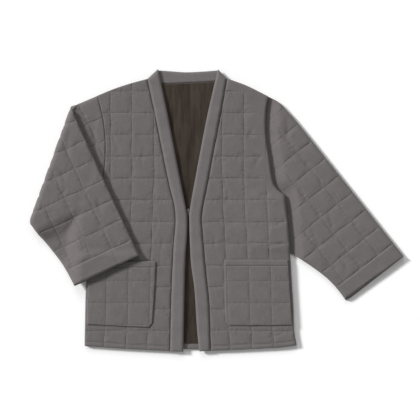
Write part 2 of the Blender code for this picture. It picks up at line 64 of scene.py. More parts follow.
def woven_group():
    """Puts out the height of the threads and the tone of the cloth, both from 0 to 1. The tone holds
    painted shade, lighter on the thread crowns and darker between the threads.
    """
    group = bpy.data.node_groups.new("woven_cloth", "ShaderNodeTree")
    group.interface.new_socket("Vector", in_out="INPUT", socket_type="NodeSocketVector")
    group.interface.new_socket("Thread", in_out="INPUT", socket_type="NodeSocketFloat")
    group.interface.new_socket("Height", in_out="OUTPUT", socket_type="NodeSocketFloat")
    group.interface.new_socket("Tone", in_out="OUTPUT", socket_type="NodeSocketFloat")
    nodes, links = group.nodes, group.links
    given, out = nodes.new("NodeGroupInput"), nodes.new("NodeGroupOutput")

    def math_node(operation, first, second=None):
        node = nodes.new("ShaderNodeMath")
        node.operation = operation
        for socket, value in zip(node.inputs, (first, second)):
            if isinstance(value, (int, float)):
                socket.default_value = value
            elif value is not None:
                links.new(value, socket)
        return node.outputs[0]

    split = nodes.new("ShaderNodeSeparateXYZ")
    links.new(given.outputs["Vector"], split.inputs[0])
    counts = [math_node("DIVIDE", split.outputs[axis], given.outputs["Thread"]) for axis in (0, 1)]
    crowns = [math_node("ABSOLUTE", math_node("SINE", math_node("MULTIPLY", c, math.pi))) for c in counts]
    rows = [math_node("FLOOR", count) for count in counts]
    over = math_node("PINGPONG", math_node("ADD", rows[0], rows[1]), 1)
    warp = math_node("MULTIPLY", crowns[0], over)
    weft = math_node("MULTIPLY", crowns[1], math_node("SUBTRACT", 1, over))
    threads = math_node("ADD", warp, weft)

    def streaks(stretch, scale):
        """Noise drawn out along one set of threads."""
        mapping = nodes.new("ShaderNodeMapping")
        mapping.inputs["Scale"].default_value = stretch
        links.new(given.outputs["Vector"], mapping.inputs["Vector"])
        grain = nodes.new("ShaderNodeTexNoise")
        grain.inputs["Scale"].default_value = scale
        grain.inputs["Detail"].default_value = 2
        links.new(mapping.outputs[0], grain.inputs["Vector"])
        return grain.outputs["Fac"]

    slubs = math_node("ADD", streaks((1, 0.05, 1), 900), streaks((0.05, 1, 1), 900))
    mottle = math_node("ADD", streaks((1, 1, 1), 30), streaks((1, 1, 1), 210))
    mixed = math_node("ADD", math_node("MULTIPLY", slubs, 0.26), math_node("MULTIPLY", mottle, 0.22))
    # painted shade of the weave: the thread height lightens the crowns and darkens the hollows between threads
    tone = math_node("ADD", mixed, math_node("MULTIPLY", threads, 0.1))
    links.new(math_node("ADD", threads, math_node("MULTIPLY", slubs, 0.5)), out.inputs["Height"])
    links.new(tone, out.inputs["Tone"])
    return group


woven = woven_group()


def cotton(name, dark, light, sheen=GREY_SHEEN):
    """Woven cotton between two tones. The bump is a third of a thread deep."""
    material = bpy.data.materials.new(name)
    material.use_nodes = True
    nodes, links = material.node_tree.nodes, material.node_tree.links
    shader = nodes["Principled BSDF"]
    shader.inputs["Roughness"].default_value = 0.9
    shader.inputs["Specular IOR Level"].default_value = 0.25
    shader.inputs["Sheen Weight"].default_value = sheen
    shader.inputs["Sheen Roughness"].default_value = 0.45
    uv = nodes.new("ShaderNodeUVMap")
    uv.uv_map = "grain"
    weave = nodes.new("ShaderNodeGroup")
    weave.node_tree = woven
    weave.inputs["Thread"].default_value = THREAD
    links.new(uv.outputs[0], weave.inputs["Vector"])
    ramp = nodes.new("ShaderNodeValToRGB")
    ramp.color_ramp.elements[0].position = 0.34
    ramp.color_ramp.elements[0].color = (*dark, 1)
    ramp.color_ramp.elements[1].position = 0.68
    ramp.color_ramp.elements[1].color = (*light, 1)
    links.new(weave.outputs["Tone"], ramp.inputs[0])
    links.new(ramp.outputs[0], shader.inputs["Base Color"])
    bump = nodes.new("ShaderNodeBump")
    bump.inputs["Strength"].default_value = 0.5
    bump.inputs["Distance"].default_value = THREAD / 3
    links.new(weave.outputs["Height"], bump.inputs["Height"])
    links.new(bump.outputs[0], shader.inputs["Normal"])
    return material


grey_cotton = cotton("grey_cotton", GREY_DARK, GREY_LIGHT)

# Back: one quilted panel under everything else, so it shows from below, round its rim, and where its
# hem is turned up between the fronts. It is cut from one outline, rounded at the rim, and its under
# side lies flat on the surface with the stitched lines drawn in.
BACK_TOP = 6.0
SEAM_GAP = 0.3
THINNEST = 1.5
QUILT_PITCH = 58.5
BODY_GRAIN_Y = 56.0
HEM_STITCH = 13.5
HEM_TURN_HALF = 36.0
HEM_TURN_RISE = 2.4
STITCH_SINK = 0.9
RIM_STEPS = (0.7, 0.9, 1.2, 1.6, 2.2)
LIFT = 4.9
LIFT_COLUMNS = (195.0, 235.0)
LIFT_COLUMNS_ABOVE = (110.0, 240.0)
LIFT_ROWS = (252.0, 290.0, 402.0, 440.0)
FLARE_TOP = BODY_GRAIN_Y + 7 * QUILT_PITCH
FLARE = {"right": -18.0, "left": 22.0}
BODY_GRAIN_X = {"right": -92.0, "left": 91.0}
HEM_RIGHT = ((-49, 1), (-179, 8), (-279, 15))
SIDE_RIGHT = ((-279, 15), (-277, 120), (-275, 184), (-268, 300), (-258, 420))
ARMHOLE_RIGHT = ((-258, 420), (-236, 450), (-225, 494), (-222, 555), (-228, 623), (-244, 688))
SHOULDER_RIGHT = ((-244, 688), (-200, 706), (-155, 721), (-110, 733))
HEM_LEFT = ((60, 2), (140, 5), (248, 11), (292, 17))
SIDE_LEFT = ((292, 17), (285, 57), (283, 121), (278, 200), (274, 264), (269, 335), (259, 421))
ARMHOLE_LEFT = ((259, 421), (240, 437), (228, 458), (219, 515), (210, 575), (209, 640), (216, 686))
SHOULDER_LEFT = ((216, 686), (191, 699), (154, 717), (104, 735))
HEM_BACK = ((-279, 15), (-150, 9), (8, 6), (150, 9), (292, 17))
NECK_BACK = ((104, 735), (70, 727), (-5, 723), (-70, 721), (-110, 733))

# Where the fine cuts of a quilted square fall, closest together beside the stitched line
FINE_CUTS = (0, 0.02, 0.042, 0.07, 0.103, 0.14, 0.18, 0.224, 0.27, 0.318, 0.366, 0.413, 0.458)
FINE_CUTS += tuple(1 - cut for cut in FINE_CUTS[:0:-1]) + (0.5,)
PLAIN_CUTS = (0, 0.03, 0.09, 0.18, 0.3, 0.43, 0.57, 0.7, 0.82, 0.91, 0.97)


def smooth_line(points, steps=5):
    """A curve through the points, with the given number of steps for each span."""
    points = np.array(points, float)
    ends = np.concatenate([[2 * points[0] - points[1]], points, [2 * points[-1] - points[-2]]])
    line = [points[0]]
    for before, start, end, after in zip(ends, ends[1:], ends[2:], ends[3:]):
        for step in range(1, steps + 1):
            t = step / steps
            bend = (2 * before - 5 * start + 4 * end - after) * t * t
            twist = (3 * start - before - 3 * end + after) * t**3
            line.append((2 * start + (end - before) * t + bend + twist) / 2)
    return np.array(line)


def beside(line, distance):
    """The same line moved to its left as it runs."""
    run = np.gradient(line, axis=0)
    run /= np.linalg.norm(run, axis=1)[:, None]
    return line + np.stack([-run[:, 1], run[:, 0]], axis=1) * distance


def joined(*lines):
    """One outline from lines that follow each other. Of two points at one corner the later stays."""
    outline = []
    for point in np.concatenate(lines):
        if outline and np.linalg.norm(point - outline[-1]) < 1.5:
            outline.pop()
        outline.append(point)
    if np.linalg.norm(outline[0] - outline[-1]) < 1.5:
        outline.pop(0)
    return np.array(outline)


def closed(outline):
    return np.concatenate([outline, outline[:1]])


def away(points, line):
    """How far each plan point is from a line."""
    nearest = np.full(len(points), np.inf)
    for start, end in zip(line, line[1:]):
        run = end - start
        share = np.clip((points - start) @ run / max(run @ run, 1e-9), 0, 1)
        nearest = np.minimum(nearest, np.linalg.norm(points - start - share[:, None] * run, axis=1))
    return nearest


def is_inside(points, outline):
    inside = np.zeros(len(points), bool)
    for start, end in zip(outline, np.roll(outline, -1, axis=0)):
        if start[1] != end[1]:
            crosses = (start[1] > points[:, 1]) != (end[1] > points[:, 1])
            at = start[0] + (points[:, 1] - start[1]) / (end[1] - start[1]) * (end[0] - start[0])
            inside ^= crosses & (points[:, 0] < at)
    return inside


def outside(points, outline):
    """How far each point is outside an outline, 0 on it or inside."""
    return np.where(is_inside(points, outline), 0, away(points, closed(outline)))


def ramp(value, start, full):
    return np.clip((value - start) / (full - start), 0, 1)


def eased(share):
    share = np.clip(share, 0, 1)
    return share * share * (3 - 2 * share)


def rim_drop(points, rims):
    """How far a rounded rim lies below the flat of its piece. A rim is (line, drop at the edge, reach)."""
    drop = np.zeros(len(points))
    for line, at_edge, reach in rims:
        inward = np.minimum(away(points, line) / reach, 1)
        drop = np.maximum(drop, at_edge * (1 - np.sqrt(1 - (1 - inward) ** 2)))
    return drop


def swell(points, size, seed):
    """Slow unevenness of about the given size, between 1 and -1, the same each time for one seed."""
    draw = np.random.default_rng(seed)
    total = np.zeros(len(points))
    for _ in range(7):
        turn, wave, phase = draw.uniform(0, 2 * np.pi), size * draw.uniform(0.7, 1.7), draw.uniform(0, 6.3)
        way = np.array((math.cos(turn), math.sin(turn)))
        total += np.sin(points @ way * 2 * np.pi / wave + phase)
    return total / 4


def quilt_depth(points, origin, along, seed=1):
    """How far the padding is drawn down: 1 on a stitched line and 0 in the middle of a square. Short
    puckers run out from the thread on both sides of each line."""
    origin, along = np.array(origin, float), np.array(along, float)
    across = np.array((-along[1], along[0]))
    place = np.stack([(points - origin) @ along, (points - origin) @ across]) / QUILT_PITCH
    off = np.abs(place - np.round(place)) * QUILT_PITCH
    full = np.prod(np.sin(np.clip(off / QUILT_PITCH, 0, 0.5) * np.pi) ** 0.36, axis=0)
    pucker = np.zeros(len(points))
    for axis in (0, 1):
        run = place[1 - axis] * QUILT_PITCH
        uneven = 3.2 * swell(points, 60, seed + axis)
        strength = (0.5 + 0.8 * swell(points, 34, seed + 5 + axis)).clip(0)
        beside_line = np.exp(-off[axis] / 9.0) * ramp(off[axis], 0.2, 2.5)
        pucker += np.sin(run * 2 * np.pi / 14.0 + uneven) * strength * beside_line
    return (1 - full) * (1 + 0.16 * swell(points, 45, seed + 9)) + 0.3 * pucker * full**0.3


def wander(points, outline, seed):
    """How far the cloth has crept sideways from its straight quilting, nothing at its seams."""
    free = eased(away(points, closed(outline)) / 16.0)
    creep = np.stack([swell(points, 95, seed), swell(points, 95, seed + 1)], axis=1)
    fine = np.stack([swell(points, 38, seed + 2), swell(points, 38, seed + 3)], axis=1)
    return (1.5 * creep + 0.5 * fine) * free[:, None]


def let_wander(bm, outline, seed):
    moves = wander(plan(bm.verts), outline, seed)
    for vert, move in zip(bm.verts, moves):
        vert.co.xy += Vector(move)


def creased(points, folds):
    """Depth of listed creases. Each is (points of its line, depth, half width), deepest in its
    middle third, and a negative depth raises a ridge."""
    depth = np.zeros(len(points))
    for line, deepest, half_width in folds:
        line = smooth_line(line)
        near = np.full(len(points), np.inf)
        taper = np.zeros(len(points))
        for i, (start, end) in enumerate(zip(line, line[1:])):
            run = end - start
            share = np.clip((points - start) @ run / (run @ run), 0, 1)
            off = np.linalg.norm(points - start - share[:, None] * run, axis=1)
            nearer = off < near
            near = np.where(nearer, off, near)
            taper = np.where(nearer, (i + share) / (len(line) - 1), taper)
        strength = np.minimum(1, 3 * np.minimum(taper, 1 - taper))
        depth += deepest * eased(strength) * np.exp(-((near / half_width) ** 2))
    return depth


def quilt_cuts(outline, origin, along, steps=None):
    """Planes across the piece along its quilting lines and between them."""
    origin, along = np.array(origin, float), np.array(along, float)
    sets = []
    for axis in (along, np.array((-along[1], along[0]))):
        reach = (outline - origin) @ axis / QUILT_PITCH
        lines = range(math.floor(reach.min()), math.ceil(reach.max()) + 1)
        places = [line + step for line in lines for step in (FINE_CUTS if steps is None else steps)]
        places = [place for place in places if reach.min() < place < reach.max()]
        sets.append([(origin + axis * place * QUILT_PITCH, axis) for place in places])
    few, many = sorted(sets, key=len)
    return many + few


def drifted(points, flare):
    """Where points of the straight cloth lie once the skirt of the jacket has flared."""
    return points + np.stack([flare * ramp(points[:, 1], FLARE_TOP, 0), np.zeros(len(points))], axis=1)


def with_row(outline, row):
    """The outline with a point added wherever it crosses the row."""
    points = []
    for start, end in zip(outline, np.roll(outline, -1, axis=0)):
        points.append(start)
        if (start[1] - row) * (end[1] - row) < 0:
            points.append(start + (end - start) * (row - start[1]) / (end[1] - start[1]))
    return np.array(points)


def body_lift(points, columns=LIFT_COLUMNS):
    """The left side of the body is raised where the tucked margin of the sleeve is under it."""
    low, full, full_end, end = LIFT_ROWS
    rows = np.minimum(eased(ramp(points[:, 1], low, full)), eased(ramp(points[:, 1], end, full_end)))
    return LIFT * rows * eased(ramp(points[:, 0], *columns))


def cleared(outline, room):
    """The outline without the points so close to a sharp corner that stepping in would cross them."""
    before, after = np.roll(outline, 1, axis=0) - outline, np.roll(outline, -1, axis=0) - outline
    lengths = np.linalg.norm(before, axis=1) * np.linalg.norm(after, axis=1)
    angles = np.arccos(np.clip((before * after).sum(axis=1) / lengths, -1, 1))
    sharp = angles < math.radians(150)
    kept = np.ones(len(outline), bool)
    for corner in np.flatnonzero(sharp):
        reach = 1.4 * room / math.tan(angles[corner] / 2) + 1
        for way in (1, -1):
            index = (corner + way) % len(outline)
            while not sharp[index] and np.linalg.norm(outline[index] - outline[corner]) < reach:
                kept[index] = False
                index = (index + way) % len(outline)
    return outline[kept]


def flat_cut(outline, steps=RIM_STEPS, cuts=(), flare=0.0):
    """The cut of a piece as a flat mesh: its outline as one face, stepped in along the rim, then cut."""
    bm = bmesh.new()
    outline = cleared(outline, sum(steps))
    for x, y in drifted(with_row(outline, FLARE_TOP) if flare else outline, -flare):
        bm.verts.new((x, y, 0))
    middle = [bm.faces.new(bm.verts)]
    bm.normal_update()
    if middle[0].normal.z < 0:
        bmesh.ops.reverse_faces(bm, faces=middle)
    for step in steps:
        bmesh.ops.inset_individual(bm, faces=middle, thickness=step, use_even_offset=True)
    for place, normal in cuts:
        geometry = bm.verts[:] + bm.edges[:] + bm.faces[:]
        bmesh.ops.bisect_plane(bm, geom=geometry, dist=0.25, plane_co=(*place, 0), plane_no=(*normal, 0))
    if flare:
        for vert in bm.verts:
            vert.co.xy = drifted(np.array([vert.co.xy]), flare)[0]
    return bm


def plan(verts):
    return np.array([vert.co.xy for vert in verts])


def thicken(bm, low, high, grain, along, level=None):
    """Gives the flat cut its under side and upper side, and a UV map in metres along its grain. What
    lies level underneath, at the height given, is hidden and becomes one plain face."""
    lower = bm.verts[:]
    raised = bmesh.ops.extrude_face_region(bm, geom=bm.faces[:], use_keep_orig=True)
    upper = [item for item in raised["geom"] if isinstance(item, bmesh.types.BMVert)]
    for verts, height in ((lower, low), (upper, high)):
        for vert, z in zip(verts, height(plan(verts))):
            vert.co.z = z
    bmesh.ops.recalc_face_normals(bm, faces=bm.faces[:])
    if level is not None:
        plain = {vert for vert in lower if abs(vert.co.z - level) < 1e-4}
        hidden = [face for face in bm.faces if plain.issuperset(face.verts)]
        bmesh.ops.dissolve_faces(bm, faces=hidden)
    lay_grain(bm, grain, along)


def lay_grain(bm, grain, along):
    """A UV map in metres, with its first axis along the grain."""
    along = Vector(along)
    across = Vector((-along.y, along.x))
    layer = bm.loops.layers.uv.new("grain")
    for face in bm.faces:
        for loop in face.loops:
            offset = loop.vert.co.xy - Vector(grain)
            loop[layer].uv = (offset.dot(along) / 1000, offset.dot(across) / 1000)


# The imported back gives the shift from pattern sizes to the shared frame
back_low, back_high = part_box("back_panel")
SHIFT = Vector((back_low.x - HEM_BACK[0][0] / 1000, back_low.y - HEM_BACK[2][1] / 1000, 0))
TO_FRAME = Matrix.Translation(SHIFT) @ Matrix.Scale(0.001, 4)


def piece(name, bm, material, nodes=()):
    """Brings a piece to its place in the frame, and hangs it on the jacket's one body."""
    bmesh.ops.transform(bm, matrix=TO_FRAME, verts=bm.verts[:])
    mesh = bpy.data.meshes.new(name)
    bm.to_mesh(mesh)
    bm.free()
    mesh.materials.append(material)
    mesh.shade_smooth()
    obj = bpy.data.objects.new(name, mesh)
    bpy.context.scene.collection.objects.link(obj)
    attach(obj, "root")
    if nodes:
        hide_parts(*nodes)
    return obj


tables = {
    "hem_right": HEM_RIGHT,
    "side_right": SIDE_RIGHT,
    "armhole_right": ARMHOLE_RIGHT,
    "shoulder_right": SHOULDER_RIGHT,
    "hem_left": HEM_LEFT,
    "side_left": SIDE_LEFT,
    "armhole_left": ARMHOLE_LEFT,
    "shoulder_left": SHOULDER_LEFT,
    "hem_back": HEM_BACK,
    "neck_back": NECK_BACK,
}
edges = {name: smooth_line(points) for name, points in tables.items()}
left_run = [edges[name] for name in ("side_left", "armhole_left", "shoulder_left")]
right_run = [edges[name][::-1] for name in ("shoulder_right", "armhole_right", "side_right")]
back_outline = joined(edges["hem_back"], *left_run, edges["neck_back"], *right_run)
back_grain = (0.0, BODY_GRAIN_Y)


def back_under(points):
    closed_edges = ((line, BACK_TOP - THINNEST, 9.0) for line in (joined(*left_run), joined(*right_run)))
    soft_edges = ((edges["hem_back"], 2.0, 4.0), (edges["neck_back"], 2.0, 4.0))
    rise = np.maximum(rim_drop(points, closed_edges), rim_drop(points, soft_edges))
    drawn = STITCH_SINK * np.clip(quilt_depth(points, back_grain, (1, 0)), 0, 1) ** 3
    return body_lift(points) + np.maximum(rise, drawn)


def back_upper(points):
    inside_hem = away(points, edges["hem_back"])
    turned = (np.abs(points[:, 0]) < HEM_TURN_HALF + 0.1) & (inside_hem < HEM_STITCH - 1)
    return BACK_TOP + body_lift(points) + HEM_TURN_RISE * turned * eased(ramp(inside_hem, -1.5, 3))


back_cuts = quilt_cuts(back_outline, back_grain, (1, 0), PLAIN_CUTS)
back_cuts += [(np.array((side * HEM_TURN_HALF, 0)), (1, 0)) for side in (-1, 1)]
bm = flat_cut(back_outline, cuts=back_cuts)
thicken(bm, back_under, back_upper, back_grain, (0, 1))
back = piece("back", bm, grey_cotton, ["back_panel"])

# Lining of the back: brown short-pile plush, sewn in behind the neck band and shown in the V of the
# neck and in the gap below. The pile is modelled as short tufts that lean down the back, over a base
# whose streaks run the way that the pile was stroked.
LINING_LOW = BACK_TOP + SEAM_GAP
LINING_TOP = 8.8
LINING_HALF = 168.0
TUFT_SPACING = 2.1
TUFT_TALL = 1.7
BROWN_DARK = (0.034, 0.025, 0.020)
BROWN_LIGHT = (0.060, 0.047, 0.036)


def plush(name, dark, light):
    """Streaked plush: dark between the tufts, with paler bands where the pile lies over."""
    material = bpy.data.materials.new(name)
    material.use_nodes = True
    nodes, links = material.node_tree.nodes, material.node_tree.links
    shader = nodes["Principled BSDF"]
    shader.inputs["Roughness"].default_value = 0.95
    shader.inputs["Specular IOR Level"].default_value = 0.15
    shader.inputs["Sheen Weight"].default_value = 0.35
    shader.inputs["Sheen Roughness"].default_value = 0.4
    place = nodes.new("ShaderNodeTexCoord")
    mapping = nodes.new("ShaderNodeMapping")
    mapping.inputs["Scale"].default_value = (1, 0.16, 1)
    links.new(place.outputs["Object"], mapping.inputs["Vector"])
    bands = nodes.new("ShaderNodeTexNoise")
    bands.inputs["Scale"].default_value = 75
    bands.inputs["Detail"].default_value = 4
    bands.inputs["Roughness"].default_value = 0.6
    links.new(mapping.outputs[0], bands.inputs["Vector"])
    ramp_node = nodes.new("ShaderNodeValToRGB")
    ramp_node.color_ramp.elements[0].position = 0.36
    ramp_node.color_ramp.elements[0].color = (*dark, 1)
    ramp_node.color_ramp.elements[1].position = 0.66
    ramp_node.color_ramp.elements[1].color = (*light, 1)
    links.new(bands.outputs["Fac"], ramp_node.inputs[0])
    links.new(ramp_node.outputs[0], shader.inputs["Base Color"])
    fuzz = nodes.new("ShaderNodeTexNoise")
    fuzz.inputs["Scale"].default_value = 1400
    links.new(place.outputs["Object"], fuzz.inputs["Vector"])
    bump = nodes.new("ShaderNodeBump")
    bump.inputs["Strength"].default_value = 0.6
    bump.inputs["Distance"].default_value = 0.0005
    links.new(fuzz.outputs["Fac"], bump.inputs["Height"])
    links.new(bump.outputs[0], shader.inputs["Normal"])
    return material


def stamped(name, shape, places, turns, sizes, material):
    """One mesh of many copies of a small shape, each turned about z and scaled, in pattern sizes."""
    verts = np.array([vert.co[:] for vert in shape.verts])
    faces = np.array([[vert.index for vert in face.verts] for face in shape.faces])
    spots = verts[None] * sizes[:, None, :]
    cos, sin = np.cos(turns)[:, None], np.sin(turns)[:, None]
    spots = np.stack(
        [spots[..., 0] * cos - spots[..., 1] * sin, spots[..., 0] * sin + spots[..., 1] * cos, spots[..., 2]],
        axis=2,
    )
    spots = (spots + places[:, None, :]).reshape(-1, 3)
    copies = (faces[None] + len(verts) * np.arange(len(places))[:, None, None]).reshape(-1, faces.shape[1])
    mesh = bpy.data.meshes.new(name)
    mesh.from_pydata(spots.tolist(), [], copies.tolist())
    bm = bmesh.new()
    bm.from_mesh(mesh)
    return piece(name, bm, material)


brown_plush = plush("brown_plush", BROWN_DARK, BROWN_LIGHT)
hem_line = beside(edges["hem_back"], HEM_STITCH + 1.5)
neck_line = beside(edges["neck_back"], SEAM_GAP + 0.4)
hem_line = hem_line[np.abs(hem_line[:, 0]) < LINING_HALF]
neck_line = neck_line[np.abs(neck_line[:, 0]) < LINING_HALF / 2]
lining_left = np.array([(LINING_HALF, 640), (LINING_HALF - 60, 690)])
lining_outline = joined(hem_line, lining_left, neck_line, lining_left[::-1] * (-1, 1))
lining_rims = ((closed(lining_outline), LINING_TOP - LINING_LOW - 1, 3.0),)
lining_cuts = quilt_cuts(lining_outline, (0, 0), (1, 0), (0, 0.2, 0.4, 0.6, 0.8))


def lining_upper(points):
    return LINING_TOP - rim_drop(points, lining_rims) - 0.4 * (0.5 + 0.5 * swell(points * (1, 0.4), 30, 61))


bm = flat_cut(lining_outline, (1.0, 1.5), lining_cuts)
thicken(bm, lambda p: np.full(len(p), LINING_LOW), lining_upper, (0, 0), (0, 1), LINING_LOW)
lining = piece("lining", bm, brown_plush, ["back_lining"])

tuft = bmesh.new()
bmesh.ops.create_cone(tuft, segments=3, radius1=0.55, radius2=0.0, depth=1.0, cap_ends=False)
bmesh.ops.remove_doubles(tuft, verts=tuft.verts[:], dist=0.001)
bmesh.ops.translate(tuft, vec=(0, 0, 0.5), verts=tuft.verts[:])
for vert in tuft.verts:
    vert.co.y -= 0.9 * max(vert.co.z, 0)
tuft.verts.index_update()
draw = np.random.default_rng(7)
xs, ys = np.meshgrid(np.arange(-90, 90, TUFT_SPACING), np.arange(22, 724, TUFT_SPACING))
spots = np.stack([xs.ravel(), ys.ravel()], axis=1)
spots += draw.uniform(-0.8, 0.8, spots.shape)
shown_half = 9 + 76 * eased(ramp(spots[:, 1], 330, 760)) + 20 * ramp(spots[:, 1], 330, 0)
shown = (np.abs(spots[:, 0]) < shown_half) & is_inside(spots, lining_outline)
shown &= away(spots, closed(lining_outline)) > 2.5
spots = spots[shown]
heights = lining_upper(spots) - 0.15
tall = TUFT_TALL * (1 + 0.35 * draw.uniform(-1, 1, len(spots)))
sizes = np.stack([np.ones(len(spots)), 1.1 * np.ones(len(spots)), tall], axis=1)
turns = 0.6 * swell(spots, 45, 62) + draw.uniform(-0.5, 0.5, len(spots))
room = np.minimum(tall, 9.0 - heights)
sizes[:, 2] = np.where(np.abs(spots[:, 0]) < 6, tall, room.clip(0.2))
stamped(
    "lining_pile", tuft, np.column_stack([spots, heights]), turns, sizes, brown_plush
)

# Fronts: two quilted panels that lie on the lining and the back. They close on the back along the side,
# armhole and shoulder seams, have a stitched hem, and carry a collar band along their inner edge. The
# quilting flares with the skirt and is pressed flat under the pockets.
FRONT_LOW = LINING_TOP + SEAM_GAP
FRONT_TOP = 16.1
QUILT_DROP = 3.1
QUILT_CROWN = 0.7
FRONT_CREASES = {
    "right": (
        (((-228, 610), (-196, 566), (-178, 520)), 1.3, 7.0),
        (((-150, 640), (-142, 590), (-148, 548)), -1.1, 6.0),
        (((-118, 560), (-124, 505), (-112, 470)), 1.2, 5.0),
        (((-205, 430), (-176, 396), (-150, 386)), 1.2, 6.0),
        (((-96, 402), (-84, 350), (-92, 300)), 1.0, 6.0),
        (((-60, 330), (-74, 262), (-66, 205)), 0.9, 5.0),
        (((-250, 60), (-228, 42), (-196, 38)), 1.0, 5.0),
    ),
    "left": (
        (((214, 640), (182, 612), (160, 570)), 1.5, 7.0),
        (((219, 540), (190, 520), (176, 482)), 1.3, 6.0),
        (((240, 436), (208, 420), (182, 424)), 1.5, 6.0),
        (((262, 352), (232, 340), (205, 348)), 1.4, 5.0),
        (((268, 300), (240, 286), (206, 290)), 1.2, 5.0),
        (((120, 610), (126, 560), (118, 520)), -1.0, 6.0),
        (((95, 470), (108, 425), (98, 380)), 1.0, 5.5),
        (((62, 330), (74, 280), (70, 228)), 0.9, 5.0),
        (((270, 60), (240, 44), (210, 46)), 1.0, 5.0),
    ),
}


def crumpled(points, seed):
    """Fine unevenness of handled cloth, a little over half a millimetre each way."""
    broad = 0.42 * swell(points, 120, seed) + 0.30 * swell(points, 44, seed + 1)
    return broad + 0.16 * swell(points, 20, seed + 2) + 0.08 * swell(points, 11, seed + 3)

BAND_SEAM_RIGHT = ((-110, 733), (-90, 640), (-56, 470), (-35, 373), (-40, 276), (-46, 144), (-49, 1))
BAND_SEAM_LEFT = ((104, 735), (92, 665), (61, 500), (37, 373), (38, 325), (47, 217), (56, 130), (60, 2))
POCKET_RIGHT = ((-268, 244), (-86, 243), (-91, 150), (-96, 78), (-106, 66), (-271, 74))
POCKET_LEFT = ((98, 247), (268, 247), (273, 160), (279, 72), (110, 71), (101, 80), (99, 160))
pockets = {"right": np.array(POCKET_RIGHT, float), "left": np.array(POCKET_LEFT, float)}
edges["band_right"] = smooth_line(BAND_SEAM_RIGHT)
edges["band_left"] = smooth_line(BAND_SEAM_LEFT)
front_outlines = {}


def make_front(half):
    seams = joined(*(edges[part + half] for part in ("side_", "armhole_", "shoulder_")))
    hem = edges["hem_" + half]
    band = edges["band_" + half]
    inner = beside(band, -SEAM_GAP / 2 if half == "right" else SEAM_GAP / 2)
    outline = joined(hem, seams, inner)
    front_outlines[half] = outline
    grain = (BODY_GRAIN_X[half], BODY_GRAIN_Y)
    armhole = joined(edges["armhole_" + half], edges["shoulder_" + half])
    arm_rim = (armhole, 3.6, 4.5) if half == "right" else (armhole, FRONT_TOP - BACK_TOP - 2 * THINNEST, 6.5)
    side_rim = (edges["side_" + half], FRONT_TOP - BACK_TOP - 2 * THINNEST, 9.0)
    rims = (arm_rim, side_rim, (hem, 4.5, 6.5), (band, 5.0, 9.0))

    def under(points):
        tuck = ramp(away(points, seams), 4.5, 0)
        return FRONT_LOW + body_lift(points) - (FRONT_LOW - BACK_TOP - SEAM_GAP) * tuck

    def upper(points):
        drawn = quilt_depth(drifted(points, -FLARE[half]), grain, (1, 0), seed=11)
        hem_line = np.exp(-(((away(points, hem) - HEM_STITCH) / 2.2) ** 2))
        depth = QUILT_DROP * np.maximum(drawn, hem_line) - QUILT_CROWN
        depth += creased(points, FRONT_CREASES[half]) - crumpled(points, 21)
        pressed = outside(points, pockets[half])
        depth = depth * ramp(pressed, 0, 6) + 0.1 * (1 - ramp(pressed, 0, 6))
        depth += 1.5 * np.exp(-(((pressed - 1.4) / 1.5) ** 2)) * (pressed > 0)
        if half == "left":
            depth -= 2.4 * np.exp(-(((away(points, armhole) - 14) / 13) ** 2)) * ramp(pressed, 0, 20)
        lift = np.maximum(body_lift(points), body_lift(points, LIFT_COLUMNS_ABOVE))
        return FRONT_TOP + lift - np.maximum(rim_drop(points, rims), depth)

    flat = drifted(outline, -FLARE[half])
    bm = flat_cut(outline, RIM_STEPS, quilt_cuts(flat, grain, (1, 0)), FLARE[half])
    thicken(bm, under, upper, grain, (0, 1), FRONT_LOW)
    let_wander(bm, outline, 25)
    front = piece("front_" + half + "_quilted", bm, grey_cotton, ["front_" + half])
    return front


fronts = {half: make_front(half) for half in ("right", "left")}

# Collar band: one long strip of plain padded cloth, folded in half over its padding and sewn to both
# fronts and the back of the neck. Each front half lies beside its panel and turns over the shoulder,
# and the stretch behind the neck shows its inner side.
BAND_TOP = 19.0
BAND_EDGE_RIGHT = ((-81, 760), (-55, 638), (-29, 503), (-6, 386), (-2, 360), (-3, 310), (-8, 232), (-13, 0))
BAND_EDGE_LEFT = ((80, 759), (52, 638), (26, 503), (5, 386), (3, 349), (7, 244), (17, 165), (24, 56), (30, 1))
NECK_BAND_TOP = ((79, 757), (40, 754), (-6, 752), (-50, 755), (-80, 757))
NECK_BAND_HIGH = FRONT_LOW - 2 * SEAM_GAP
BAND_DARK = (0.122, 0.110, 0.111)
BAND_LIGHT = (0.172, 0.156, 0.157)
band_cotton = cotton("band_cotton", BAND_DARK, BAND_LIGHT)


def make_band(half):
    free = smooth_line(BAND_EDGE_RIGHT if half == "right" else BAND_EDGE_LEFT)
    seam = beside(edges["band_" + half], SEAM_GAP / 2 if half == "right" else -SEAM_GAP / 2)
    outline = joined(free, seam[::-1])
    rims = (
        (free, 5.2, 7.5),
        (seam, 7.2, 8.5),
        (np.array([free[0], seam[0]]), 7.0, 12.0),
        (np.array([free[-1], seam[-1]]), 4.0, 6.0),
    )

    def upper(points):
        drawn = np.exp(-away(points, seam) / 9) * (0.6 + 1.1 * swell(points * (0.3, 1), 24, 31))
        ripple = 0.5 * swell(points * (0.25, 1), 40, 33)
        uneven = 0.5 * swell(points, 75, 32) + 0.75 * drawn + ripple
        return np.maximum(BAND_TOP - rim_drop(points, rims) - uneven.clip(-0.9, 2.2), FRONT_LOW + 1)

    rows = [(np.array((0, row)), (0, 1)) for row in np.arange(4, 760, 4.0)]
    lengthwise = [(np.array((column, 0)), (1, 0)) for column in np.arange(-108, 104, 5.0)]
    bm = flat_cut(outline, RIM_STEPS + (2.5,), rows + lengthwise)
    thicken(bm, lambda p: np.full(len(p), FRONT_LOW), upper, (0, 0), (0, 1), FRONT_LOW)
    band = piece("collar_" + half, bm, band_cotton, ["collar_band_" + half])
    return outline


band_outlines = {half: make_band(half) for half in ("right", "left")}

